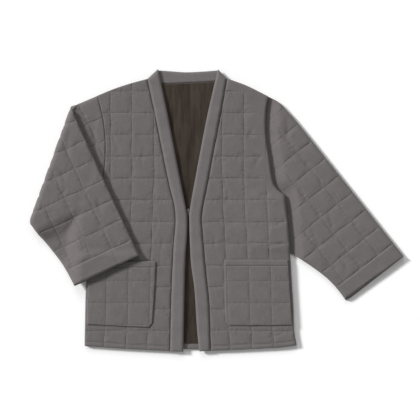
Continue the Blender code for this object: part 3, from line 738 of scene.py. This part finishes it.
neck_top = smooth_line(NECK_BAND_TOP)
neck_seam = beside(edges["neck_back"], -SEAM_GAP - 0.2)
neck_seam = neck_seam[np.abs(neck_seam[:, 0]) < 102]
neck_outline = joined(neck_top, neck_seam[::-1])
neck_rims = ((neck_top, 4.5, 8.0), (neck_seam, 3.0, 5.0))
neck_cuts = [(np.array((column, 0)), (1, 0)) for column in np.arange(-100, 100, 4.0)]
neck_cuts += [(np.array((0, row)), (0, 1)) for row in np.arange(724, 757, 4.0)]


def neck_upper(points):
    uneven = 0.4 * swell(points, 50, 41) + 0.3 * np.exp(-away(points, neck_seam) / 5) * swell(points, 16, 42)
    return NECK_BAND_HIGH - rim_drop(points, neck_rims) - uneven.clip(0, 1)


bm = flat_cut(neck_outline, (0.8, 1.2, 2.0), neck_cuts)
thicken(bm, lambda p: rim_drop(p, ((neck_top, 2.5, 6.0),)), neck_upper, (0, 0), (1, 0))
neck_band = piece("collar_neck", bm, band_cotton, ["collar_band_back"])

# Closing loop: a short loop of folded cloth between the two bands, where the neck opening ends. It
# lies low between them, over the lining.
LOOP_OUTLINE = ((-0.8, 366), (1.9, 366), (3.0, 384), (-3.6, 384))
LOOP_TOP = 12.4
loop_outline = np.array(LOOP_OUTLINE)
bm = flat_cut(loop_outline, (0.3, 0.3))
loop_rims = ((closed(loop_outline), 1.4, 0.7),)
thicken(bm, lambda p: np.full(len(p), FRONT_LOW), lambda p: LOOP_TOP - rim_drop(p, loop_rims), (0, 0), (0, 1))
loop = piece("loop", bm, grey_cotton, ["closing_loop"])

# Patch pockets: quilted squares of the same cloth, turned in at the edges and sewn on round three
# sides. The top edge is a stitched hem that stands a little off the front.
POCKET_SEAT = FRONT_TOP + 0.5
POCKET_THICK = 4.0
POCKET_HEM = 16.0
POCKET_GRAIN = {"right": (-155, 190), "left": (157, 190)}


def make_pocket(half):
    outline = pockets[half]
    top = outline[:2]
    sides = np.concatenate([outline[1:], outline[:1]])
    rims = ((sides, 2.8, 5.0), (top, 2.0, 4.0))

    def upper(points):
        drawn = quilt_depth(drifted(points, -FLARE[half] / 2), POCKET_GRAIN[half], (1, 0), seed=51)
        from_top = away(points, top)
        drawn = np.where(from_top < POCKET_HEM, 0.25 * drawn, drawn)
        sewn = np.exp(-(((from_top - POCKET_HEM) / 2.0) ** 2))
        edge_stitch = 0.5 * np.exp(-(((away(points, sides) - 3.0) / 1.2) ** 2))
        depth = 2.2 * np.maximum.reduce([drawn, sewn, edge_stitch]) - 0.5
        uneven = 0.75 * crumpled(points, 52)
        return POCKET_SEAT + POCKET_THICK + uneven - np.maximum(rim_drop(points, rims), depth)

    grain = POCKET_GRAIN[half]
    cuts = quilt_cuts(outline, grain, (1, 0))
    cuts += [(top[0] - (0, POCKET_HEM + step), (0, 1)) for step in (-2.5, -1.2, 0, 1.2, 2.5)]
    bm = flat_cut(outline, (0.6, 0.8, 1.1, 1.5), cuts, FLARE[half] / 2)
    thicken(bm, lambda p: np.full(len(p), POCKET_SEAT), upper, grain, (0, 1), POCKET_SEAT)
    pocket = piece("patch_pocket_" + half, bm, grey_cotton, ["pocket_" + half])
    return pocket


pocket_pieces = {half: make_pocket(half) for half in ("right", "left")}

# Left sleeve: a wide quilted tube, pressed flat and spread out. Its upper and lower walls part at the
# cuff, whose stitched hem is only faintly quilted, and the tube dips to the seam where it leaves the
# body. The margin under the body's raised side is thin.
SLEEVE_THICK = 15.0
SLEEVE_MIDDLE = SLEEVE_THICK / 2
CUFF_HEM = 47.0
CUFF_SLOT = 1.6
SLOT_DEPTH = 400.0
SLOT_STEPS = 16
SLEEVE_LEFT_TOP = ((216, 686), (229, 680), (247, 668), (266, 648), (303, 605), (442, 430), (581, 255))
SLEEVE_LEFT_CUFF = ((581, 255), (439, 145), (425, 137))
SLEEVE_LEFT_UNDER = ((425, 137), (397, 173), (364, 205), (306, 246), (274.6, 264))
SLEEVE_LEFT_TUCK = ((273, 291), (249, 304), (247, 345), (249, 390), (262.5, 397))
SLEEVE_LEFT_GRAIN = 52.0
VALLEY_TOP = 3.2
VALLEY_WIDTH = 40.0
CUFF_PULL = 8.0
SLEEVE_LEFT_CREASES = (
    (((246, 668), (232, 640), (224, 606)), -1.6, 8.0),
    (((262, 640), (268, 596), (262, 556)), 1.6, 8.0),
    (((284, 456), (308, 432), (320, 404)), 1.5, 5.5),
    (((300, 520), (330, 492), (344, 470)), 1.2, 6.0),
    (((366, 388), (384, 352), (392, 322)), 1.6, 5.5),
    (((414, 378), (432, 362), (444, 338)), -1.2, 5.0),
    (((330, 330), (346, 296), (350, 266)), 1.4, 6.0),
    (((296, 380), (318, 352), (326, 318)), -1.3, 6.0),
    (((398, 262), (420, 238), (428, 206)), 1.3, 5.5),
    (((452, 312), (474, 282), (484, 262)), 1.2, 5.5),
    (((500, 330), (516, 300), (520, 280)), -1.0, 5.0),
    (((352, 236), (384, 224), (404, 206)), 1.2, 6.0),
)


def sleeve_rims(top, under, cuff):
    """Rims of a flattened tube: tight along the folded top and the seam below, blunt at the cuff."""
    edge = SLEEVE_MIDDLE - 1
    return ((top, edge, 12.0), (under, edge, 12.0), (cuff, 3.5, 6.0))


def sleeve_quilting(points, cuff, grain, along, seed):
    """Quilting of a sleeve, faint in the hem of the cuff, with a stitched line where the hem ends."""
    from_cuff = away(points, cuff)
    share = np.where(from_cuff > CUFF_HEM, 1.0, 0.3)
    drawn = quilt_depth(points, grain, along, seed) * share
    return np.maximum(drawn, np.exp(-(((from_cuff - CUFF_HEM) / 2.2) ** 2)))


def part_walls(bm, cuff, run):
    """Opens the tube between its walls, from the cuff inwards in steps."""
    bm.normal_update()
    wall = [
        face
        for face in bm.faces
        if abs(face.normal.z) < 0.5 and away(plan(face.verts), cuff).max() < 0.4
    ]
    for face in wall:
        for vert in face.verts:
            vert.co.z = SLEEVE_THICK if vert.co.z > SLEEVE_MIDDLE else 0
    bmesh.ops.inset_region(bm, faces=wall, thickness=(SLEEVE_THICK - CUFF_SLOT) / 2, use_even_offset=True)
    across = Vector(cuff[-1] - cuff[0])
    start = Vector(cuff[0])
    for _ in range(SLOT_STEPS):
        pushed = bmesh.ops.extrude_face_region(bm, geom=wall)
        bmesh.ops.delete(bm, geom=wall, context="FACES")
        wall = [item for item in pushed["geom"] if isinstance(item, bmesh.types.BMFace)]
        for vert in {vert for face in wall for vert in face.verts}:
            share = (vert.co.xy - start).dot(across) / across.length_squared
            vert.co.xy += Vector(run) * SLOT_DEPTH / SLOT_STEPS * (1 - 0.55 * min(max(share, 0), 1))


def make_tube(outline, cuts, cuff, run, low, high, grain, pull, seed):
    """A flattened sleeve from its outline, with parted walls. One wall stops short of the other at the
    cuff by the pull, most at the under side, and a negative pull draws back the lower wall."""
    bm = flat_cut(outline, RIM_STEPS + (2.4,), cuts)
    lower = bm.verts[:]
    raised = bmesh.ops.extrude_face_region(bm, geom=bm.faces[:], use_keep_orig=True)
    upper = [item for item in raised["geom"] if isinstance(item, bmesh.types.BMVert)]
    for vert in upper:
        vert.co.z = SLEEVE_THICK
    bmesh.ops.recalc_face_normals(bm, faces=bm.faces[:])
    part_walls(bm, cuff, run)
    for verts, height in ((lower, low), (upper, high)):
        for vert, z in zip(verts, height(plan(verts))):
            vert.co.z = z
    let_wander(bm, outline, seed)
    across = cuff[-1] - cuff[0]
    for vert in bm.verts:
        if (vert.co.z > SLEEVE_MIDDLE) == (pull > 0):
            place = np.array([vert.co.xy])
            share = eased((place[0] - cuff[0]) @ across / (across @ across))
            near = float(eased(ramp(away(place, cuff), 22, 0))[0])
            vert.co.xy += Vector(run) * abs(pull) * near * (0.25 + 0.75 * float(share))
    bmesh.ops.recalc_face_normals(bm, faces=bm.faces[:])
    lay_grain(bm, grain, run)
    return bm


left_top = smooth_line(SLEEVE_LEFT_TOP)
left_cuff = np.array(SLEEVE_LEFT_CUFF, float)
left_under = smooth_line(SLEEVE_LEFT_UNDER)
left_tuck = np.array(SLEEVE_LEFT_TUCK, float)
by_side = beside(edges["side_left"], -SEAM_GAP - 0.1)
side_low = by_side[(by_side[:, 1] > SLEEVE_LEFT_UNDER[-1][1]) & (by_side[:, 1] < left_tuck[0][1])]
side_high = by_side[by_side[:, 1] > left_tuck[-1][1]]
by_armhole = beside(edges["armhole_left"], -SEAM_GAP - 0.1)
sleeve_left_outline = joined(left_top, left_cuff, left_under, side_low, left_tuck, side_high, by_armhole)
left_body = joined(edges["side_left"], edges["armhole_left"], np.array([(100.0, 686.0), (100.0, 17.0)]))
left_run_way = np.array(SLEEVE_LEFT_TOP[-2], float) - SLEEVE_LEFT_TOP[-1]
left_run_way /= np.linalg.norm(left_run_way)
left_grain = left_cuff[0] + left_run_way * CUFF_HEM - np.array((left_run_way[1], -left_run_way[0])) * SLEEVE_LEFT_GRAIN
left_rims = sleeve_rims(left_top, left_under, left_cuff)


def sleeve_left_upper(points):
    valley = 1 - eased((outside(points, left_body) - 1) / VALLEY_WIDTH)
    valley = (SLEEVE_THICK - VALLEY_TOP) * valley
    drawn = sleeve_quilting(points, left_cuff, left_grain, left_run_way, seed=71)
    sink = QUILT_DROP * drawn - QUILT_CROWN + creased(points, SLEEVE_LEFT_CREASES)
    sink -= 1.3 * crumpled(points, 72) * ramp(valley, 6, 0)
    low = np.minimum(valley + 0.5 * sink.clip(0), SLEEVE_THICK - VALLEY_TOP)
    return SLEEVE_THICK - np.maximum.reduce([rim_drop(points, left_rims), low, sink])


def sleeve_left_under(points):
    drawn = STITCH_SINK * np.clip(quilt_depth(points, left_grain, left_run_way, seed=73), 0, 1) ** 3
    low = np.maximum(rim_drop(points, left_rims), drawn)
    return np.minimum(low, sleeve_left_upper(points) - THINNEST)


bm = make_tube(
    sleeve_left_outline,
    quilt_cuts(sleeve_left_outline, left_grain, left_run_way),
    left_cuff,
    left_run_way,
    sleeve_left_under,
    sleeve_left_upper,
    left_grain,
    CUFF_PULL,
    75,
)
sleeve_left = piece("sleeve_left_quilted", bm, grey_cotton, ["sleeve_left"])

# Right sleeve: the same tube, folded over the front along a slanting line, so its outer part lies on
# the front and the pocket with its lower wall up. It is built flat, then turned over the fold.
FOLD_POINT = np.array((-308.0, 635.0))
FOLD_ALONG = np.array((-0.338, -0.941)) / np.hypot(0.338, 0.941)
FOLD_OUT = np.array((FOLD_ALONG[1], -FOLD_ALONG[0]))
FOLD_AXIS = SLEEVE_THICK + SEAM_GAP
FOLD_NEUTRAL = SLEEVE_THICK / 2
FOLD_TURN = math.pi * FOLD_NEUTRAL
SLEEVE_RIGHT_TOP = ((-244, 688), (-270, 677), (-296, 666))
FLAP_INNER = ((-304, 634), (-215, 440), (-131, 260))
FLAP_CUFF = ((-131, 260), (-288, 184), (-304, 177))
FLAP_UNDER = ((-304, 177), (-324, 212), (-347, 247), (-382, 291), (-399, 311))
SLEEVE_RIGHT_UNDER = ((-404, 352), (-330, 386), (-258, 420))
SLEEVE_RIGHT_CREASES = (
    (((-299, 660), (-286, 640), (-268, 632)), 1.8, 5.0),
    (((-288, 668), (-276, 650), (-256, 646)), -1.2, 5.0),
    (((-262, 610), (-252, 570), (-248, 520)), 1.2, 7.0),
    (((-244, 660), (-238, 628), (-240, 590)), -1.0, 6.0),
)
FLAP_CREASES = (
    (((-309, 610), (-322, 560), (-318, 505)), 1.6, 7.0),
    (((-282, 560), (-270, 520), (-262, 470)), -1.3, 7.0),
    (((-342, 500), (-330, 450), (-336, 410)), 1.4, 6.0),
    (((-250, 440), (-238, 392), (-226, 366)), 1.3, 6.0),
    (((-380, 380), (-350, 352), (-330, 345)), 1.5, 6.0),
    (((-375, 330), (-345, 310), (-318, 312)), -1.3, 6.0),
    (((-300, 330), (-284, 296), (-280, 262)), 1.3, 5.5),
    (((-210, 330), (-196, 300), (-180, 286)), 1.2, 5.5),
    (((-322, 232), (-296, 222), (-276, 226)), 1.2, 5.0),
)
SAG_START = 12.0
SAG_REACH = 62.0
DRAPE_START = 30.0


def unfolded(points):
    """Where points of the folded part lie before the sleeve is turned over."""
    offset = np.array(points, float) - FOLD_POINT
    back = -offset @ FOLD_OUT
    return FOLD_POINT + np.outer(offset @ FOLD_ALONG, FOLD_ALONG) + np.outer(back + FOLD_TURN, FOLD_OUT)


def resting_height(points, supports):
    """Height of what the folded sleeve lies on, sagging to the surface beyond its edge."""
    heights = [top * (1 - eased((outside(points, outline) - SAG_START) / SAG_REACH)) for outline, top in supports]
    weights = np.exp(np.array(heights) / 2.5)
    return (weights * heights).sum(axis=0) / weights.sum(axis=0)


def turned_over(points, supports):
    """Turns what lies beyond the fold line over on to what is under it."""
    offset = points[:, :2] - FOLD_POINT
    beyond = offset @ FOLD_OUT
    turn = np.clip(beyond / FOLD_NEUTRAL, 0, math.pi)
    back = np.clip(beyond - FOLD_TURN, 0, None)
    radius = FOLD_AXIS - points[:, 2]
    out = radius * np.sin(turn) - back
    place = FOLD_POINT + np.outer(offset @ FOLD_ALONG, FOLD_ALONG) + np.outer(out, FOLD_OUT)
    base = 2 * FOLD_AXIS - SLEEVE_THICK
    drape = (resting_height(place, supports) - base) * eased(back / DRAPE_START)
    height = FOLD_AXIS - radius * np.cos(turn) + drape
    moved = np.column_stack([place, height])
    return np.where((beyond > 0)[:, None], moved, points)


right_top = np.array(SLEEVE_RIGHT_TOP, float)
right_inner = unfolded(FLAP_INNER)
right_cuff = unfolded(FLAP_CUFF)
flap_under = unfolded(smooth_line(FLAP_UNDER))
lower_under = np.array(SLEEVE_RIGHT_UNDER, float)
by_armhole_right = beside(edges["armhole_right"], SEAM_GAP + 0.1)
sleeve_right_outline = joined(right_top, right_inner, right_cuff, flap_under, lower_under, by_armhole_right)
right_run_way = right_inner[0] - right_inner[-1]
right_run_way /= np.linalg.norm(right_run_way)
right_across = np.array((-right_run_way[1], right_run_way[0]))
right_grain = right_inner[-1] + right_run_way * CUFF_HEM - right_across * QUILT_PITCH
right_rims = sleeve_rims(right_top, np.concatenate([flap_under, lower_under]), right_cuff)
right_rims += ((right_inner, SLEEVE_MIDDLE - 1, 8.0),)
right_seam = ((by_armhole_right, 3.2, 4.5),)


flap_creases = [(unfolded(line), deepest, width) for line, deepest, width in FLAP_CREASES]


def past_fold(points):
    return (points - FOLD_POINT) @ FOLD_OUT


def sleeve_right_upper(points):
    drawn = sleeve_quilting(points, right_cuff, right_grain, right_run_way, seed=81)
    sink = QUILT_DROP * drawn - QUILT_CROWN + creased(points, SLEEVE_RIGHT_CREASES) - crumpled(points, 84)
    sink *= ramp(past_fold(points), FOLD_TURN / 2, 0)
    rim = np.maximum(rim_drop(points, right_rims), rim_drop(points, right_seam))
    return SLEEVE_THICK - np.maximum(rim, sink)


def sleeve_right_under(points):
    drawn = sleeve_quilting(points, right_cuff, right_grain, right_run_way, seed=82)
    over = ramp(past_fold(points), 0, 6)
    sink = QUILT_DROP * drawn - QUILT_CROWN + creased(points, flap_creases) - 1.2 * crumpled(points, 83)
    sink = np.where(over > 0, sink * over, 0)
    sink = np.where(over > 0, sink, STITCH_SINK * np.clip(drawn, 0, 1) ** 3)
    low = np.maximum(rim_drop(points, right_rims), sink)
    return np.minimum(low, sleeve_right_upper(points) - THINNEST)


right_cuts = quilt_cuts(sleeve_right_outline, right_grain, right_run_way)
right_cuts += [(FOLD_POINT + FOLD_OUT * FOLD_TURN * share, FOLD_OUT) for share in np.linspace(0, 1, 13)]
bm = make_tube(
    sleeve_right_outline,
    right_cuts,
    right_cuff,
    right_run_way,
    sleeve_right_under,
    sleeve_right_upper,
    right_grain,
    -CUFF_PULL / 2,
    85,
)
body_right = joined(*(edges[part + "right"] for part in ("hem_", "side_", "armhole_", "shoulder_", "band_")))
supports = (
    (joined(right_top, lower_under, by_armhole_right), SLEEVE_THICK + 1.4),
    (body_right, FRONT_TOP + 1.3),
    (pockets["right"], POCKET_SEAT + POCKET_THICK + 1.2),
)
for vert, place in zip(bm.verts, turned_over(np.array([vert.co[:] for vert in bm.verts]), supports)):
    vert.co = place
bmesh.ops.recalc_face_normals(bm, faces=bm.faces[:])
sleeve_right = piece("sleeve_right_quilted", bm, grey_cotton, ["sleeve_right"])

# Stitching: one row of grey thread along each quilting line, the hems and the pockets. Every stitch is
# a short bead of thread that lies in the drawn-down line of the finished cloth.
STITCH_LENGTH = 2.5
STITCH_STEP = 3.3
THREAD_THICK = 0.42
THREAD_COLOUR = (0.092, 0.083, 0.084)
thread_cotton = bpy.data.materials.new("thread")
thread_cotton.use_nodes = True
thread_shader = thread_cotton.node_tree.nodes["Principled BSDF"]
thread_shader.inputs["Roughness"].default_value = 0.7
thread_shader.inputs["Sheen Weight"].default_value = 0.2
thread_place = thread_cotton.node_tree.nodes.new("ShaderNodeTexCoord")
thread_twist = thread_cotton.node_tree.nodes.new("ShaderNodeTexNoise")
thread_twist.inputs["Scale"].default_value = 2200
thread_ramp = thread_cotton.node_tree.nodes.new("ShaderNodeValToRGB")
thread_ramp.color_ramp.elements[0].color = (*(0.8 * c for c in THREAD_COLOUR), 1)
thread_ramp.color_ramp.elements[1].color = (*(1.3 * c for c in THREAD_COLOUR), 1)
thread_links = thread_cotton.node_tree.links
thread_links.new(thread_place.outputs["Object"], thread_twist.inputs["Vector"])
thread_links.new(thread_twist.outputs["Fac"], thread_ramp.inputs[0])
thread_links.new(thread_ramp.outputs[0], thread_shader.inputs["Base Color"])


def line_spots(start, end):
    """Middles of the stitches along a straight line, and the way that they lie."""
    run = np.array(end, float) - start
    length = np.linalg.norm(run)
    along = np.arange(STITCH_STEP / 2, length, STITCH_STEP)
    return np.outer(along / length, run) + start, np.full(len(along), math.atan2(run[1], run[0]))


def curve_spots(line):
    """The same along a curve."""
    parts = [line_spots(start, end) for start, end in zip(line, line[1:])]
    return np.concatenate([p for p, _ in parts]), np.concatenate([t for _, t in parts])


def quilt_spots(outline, grain, along):
    """Stitches along every quilting line, before any drift or fold."""
    along = np.array(along, float)
    across = np.array((-along[1], along[0]))
    places, turns = [], []
    for axis, way in ((along, across), (across, along)):
        reach = (outline - grain) @ axis / QUILT_PITCH
        span = (outline - grain) @ way
        for line in range(math.ceil(reach.min()), math.floor(reach.max()) + 1):
            middle = np.array(grain) + axis * line * QUILT_PITCH
            spots, turn = line_spots(middle + way * span.min(), middle + way * span.max())
            places.append(spots)
            turns.append(turn)
    return np.concatenate(places), np.concatenate(turns)


def sew(name, cloth, places, turns):
    """Lays stitches on the upper side of a cloth piece."""
    tree = BVHTree.FromObject(cloth, bpy.context.evaluated_depsgraph_get())
    found, kept = [], []
    for i, (x, y) in enumerate(places):
        spot = TO_FRAME @ Vector((x, y, 200))
        hit, normal, _, _ = tree.ray_cast(spot, Vector((0, 0, -1)))
        if hit is not None and normal.z > 0.5:
            found.append((x, y, hit.z * 1000 + 0.08))
            kept.append(i)
    count = len(found)
    sizes = np.tile((STITCH_LENGTH / 2, THREAD_THICK / 2, THREAD_THICK / 2), (count, 1))
    return stamped(name, bead, np.array(found), turns[kept], sizes, thread_cotton)


bead = bmesh.new()
bmesh.ops.create_icosphere(bead, subdivisions=1, radius=1.0)
bead.verts.index_update()
for half in ("right", "left"):
    outline = front_outlines[half]
    flat = drifted(outline, -FLARE[half])
    spots, turns = quilt_spots(flat, (BODY_GRAIN_X[half], BODY_GRAIN_Y), (1, 0))
    spots = drifted(spots, FLARE[half])
    hem = edges["hem_" + half]
    hem_spots, hem_turns = curve_spots(beside(hem, -HEM_STITCH if half == "right" else HEM_STITCH))
    spots, turns = np.concatenate([spots, hem_spots]), np.concatenate([turns, hem_turns])
    keep = is_inside(spots, outline) & (away(spots, closed(outline)) > 1.5) & ~is_inside(spots, pockets[half])
    spots = spots[keep] + wander(spots[keep], outline, 25)
    sew("stitches_front_" + half, fronts[half], spots, turns[keep])
    pocket = pockets[half]
    spots, turns = quilt_spots(drifted(pocket, -FLARE[half] / 2), POCKET_GRAIN[half], (1, 0))
    spots = drifted(spots, FLARE[half] / 2)
    drop = np.array((0, POCKET_HEM))
    hem_spots, hem_turns = line_spots(pocket[0] - drop, pocket[1] - drop)
    spots, turns = np.concatenate([spots, hem_spots]), np.concatenate([turns, hem_turns])
    keep = is_inside(spots, pocket) & (away(spots, closed(pocket)) > 1.5)
    sew("stitches_pocket_" + half, pocket_pieces[half], spots[keep], turns[keep])

spots, turns = quilt_spots(sleeve_left_outline, left_grain, left_run_way)
keep = is_inside(spots, sleeve_left_outline) & (away(spots, closed(sleeve_left_outline)) > 2)
keep &= away(spots, left_cuff) > CUFF_HEM - 0.5
spots = spots[keep] + wander(spots[keep], sleeve_left_outline, 75)
sew("stitches_sleeve_left", sleeve_left, spots, turns[keep])

spots, turns = quilt_spots(sleeve_right_outline, right_grain, right_run_way)
keep = is_inside(spots, sleeve_right_outline) & (away(spots, closed(sleeve_right_outline)) > 2)
keep &= (away(spots, right_cuff) > CUFF_HEM - 0.5) & (past_fold(spots) > FOLD_TURN * 0.8)
spots, turns = spots[keep] + wander(spots[keep], sleeve_right_outline, 85), turns[keep]
ahead = spots + np.stack([np.cos(turns), np.sin(turns)], axis=1)
level = np.zeros((len(spots), 1))
here = turned_over(np.hstack([spots, level]), supports)[:, :2]
there = turned_over(np.hstack([ahead, level]), supports)[:, :2]
sew("stitches_sleeve_right", sleeve_right, here, np.arctan2(*(there - here).T[::-1]))

# Studio: a white floor, a large key light from the left, a softer one from the top, and a white room
# round it. The camera looks straight down from well above, as the picture was taken.
VIEW_MIDDLE = (58.6, 380.7)
VIEW_WIDTH = 1134.0
CAMERA_HEIGHT = 2.6
floor_mesh = bpy.data.meshes.new("floor")
bm = bmesh.new()
bmesh.ops.create_grid(bm, x_segments=1, y_segments=1, size=6)
bmesh.ops.translate(bm, vec=(0, 0, -0.0005), verts=bm.verts[:])
bm.to_mesh(floor_mesh)
bm.free()
floor = bpy.data.objects.new("floor", floor_mesh)
bpy.context.scene.collection.objects.link(floor)
floor_paint = bpy.data.materials.new("white_floor")
floor_paint.use_nodes = True
floor_paint.node_tree.nodes["Principled BSDF"].inputs["Base Color"].default_value = (0.97, 0.97, 0.97, 1)
floor_paint.node_tree.nodes["Principled BSDF"].inputs["Roughness"].default_value = 0.9
floor_mesh.materials.append(floor_paint)

room_light = bpy.data.worlds.new("studio")
room_light.use_nodes = True
room_light.node_tree.nodes["Background"].inputs["Color"].default_value = (1, 1, 1, 1)
room_light.node_tree.nodes["Background"].inputs["Strength"].default_value = 0.36
bpy.context.scene.world = room_light
for name, towards, softness, strength in (
    ("key", (-0.85, 0.45, 0.60), 11, 3.4),
    ("top", (-0.22, 0.95, 0.74), 24, 0.6),
):
    lamp = bpy.data.lights.new(name, "SUN")
    lamp.energy = strength
    lamp.angle = math.radians(softness)
    light = bpy.data.objects.new(name, lamp)
    light.location = towards
    light.rotation_euler = Vector(towards).to_track_quat("Z", "Y").to_euler()
    bpy.context.scene.collection.objects.link(light)

lens = bpy.data.cameras.new("camera")
lens.lens = lens.sensor_width * CAMERA_HEIGHT / (VIEW_WIDTH / 1000)
camera = bpy.data.objects.new("camera", lens)
camera.location = TO_FRAME @ Vector((*VIEW_MIDDLE, 1000 * CAMERA_HEIGHT))
bpy.context.scene.collection.objects.link(camera)
bpy.context.scene.camera = camera
bpy.context.scene.view_settings.view_transform = "Standard"
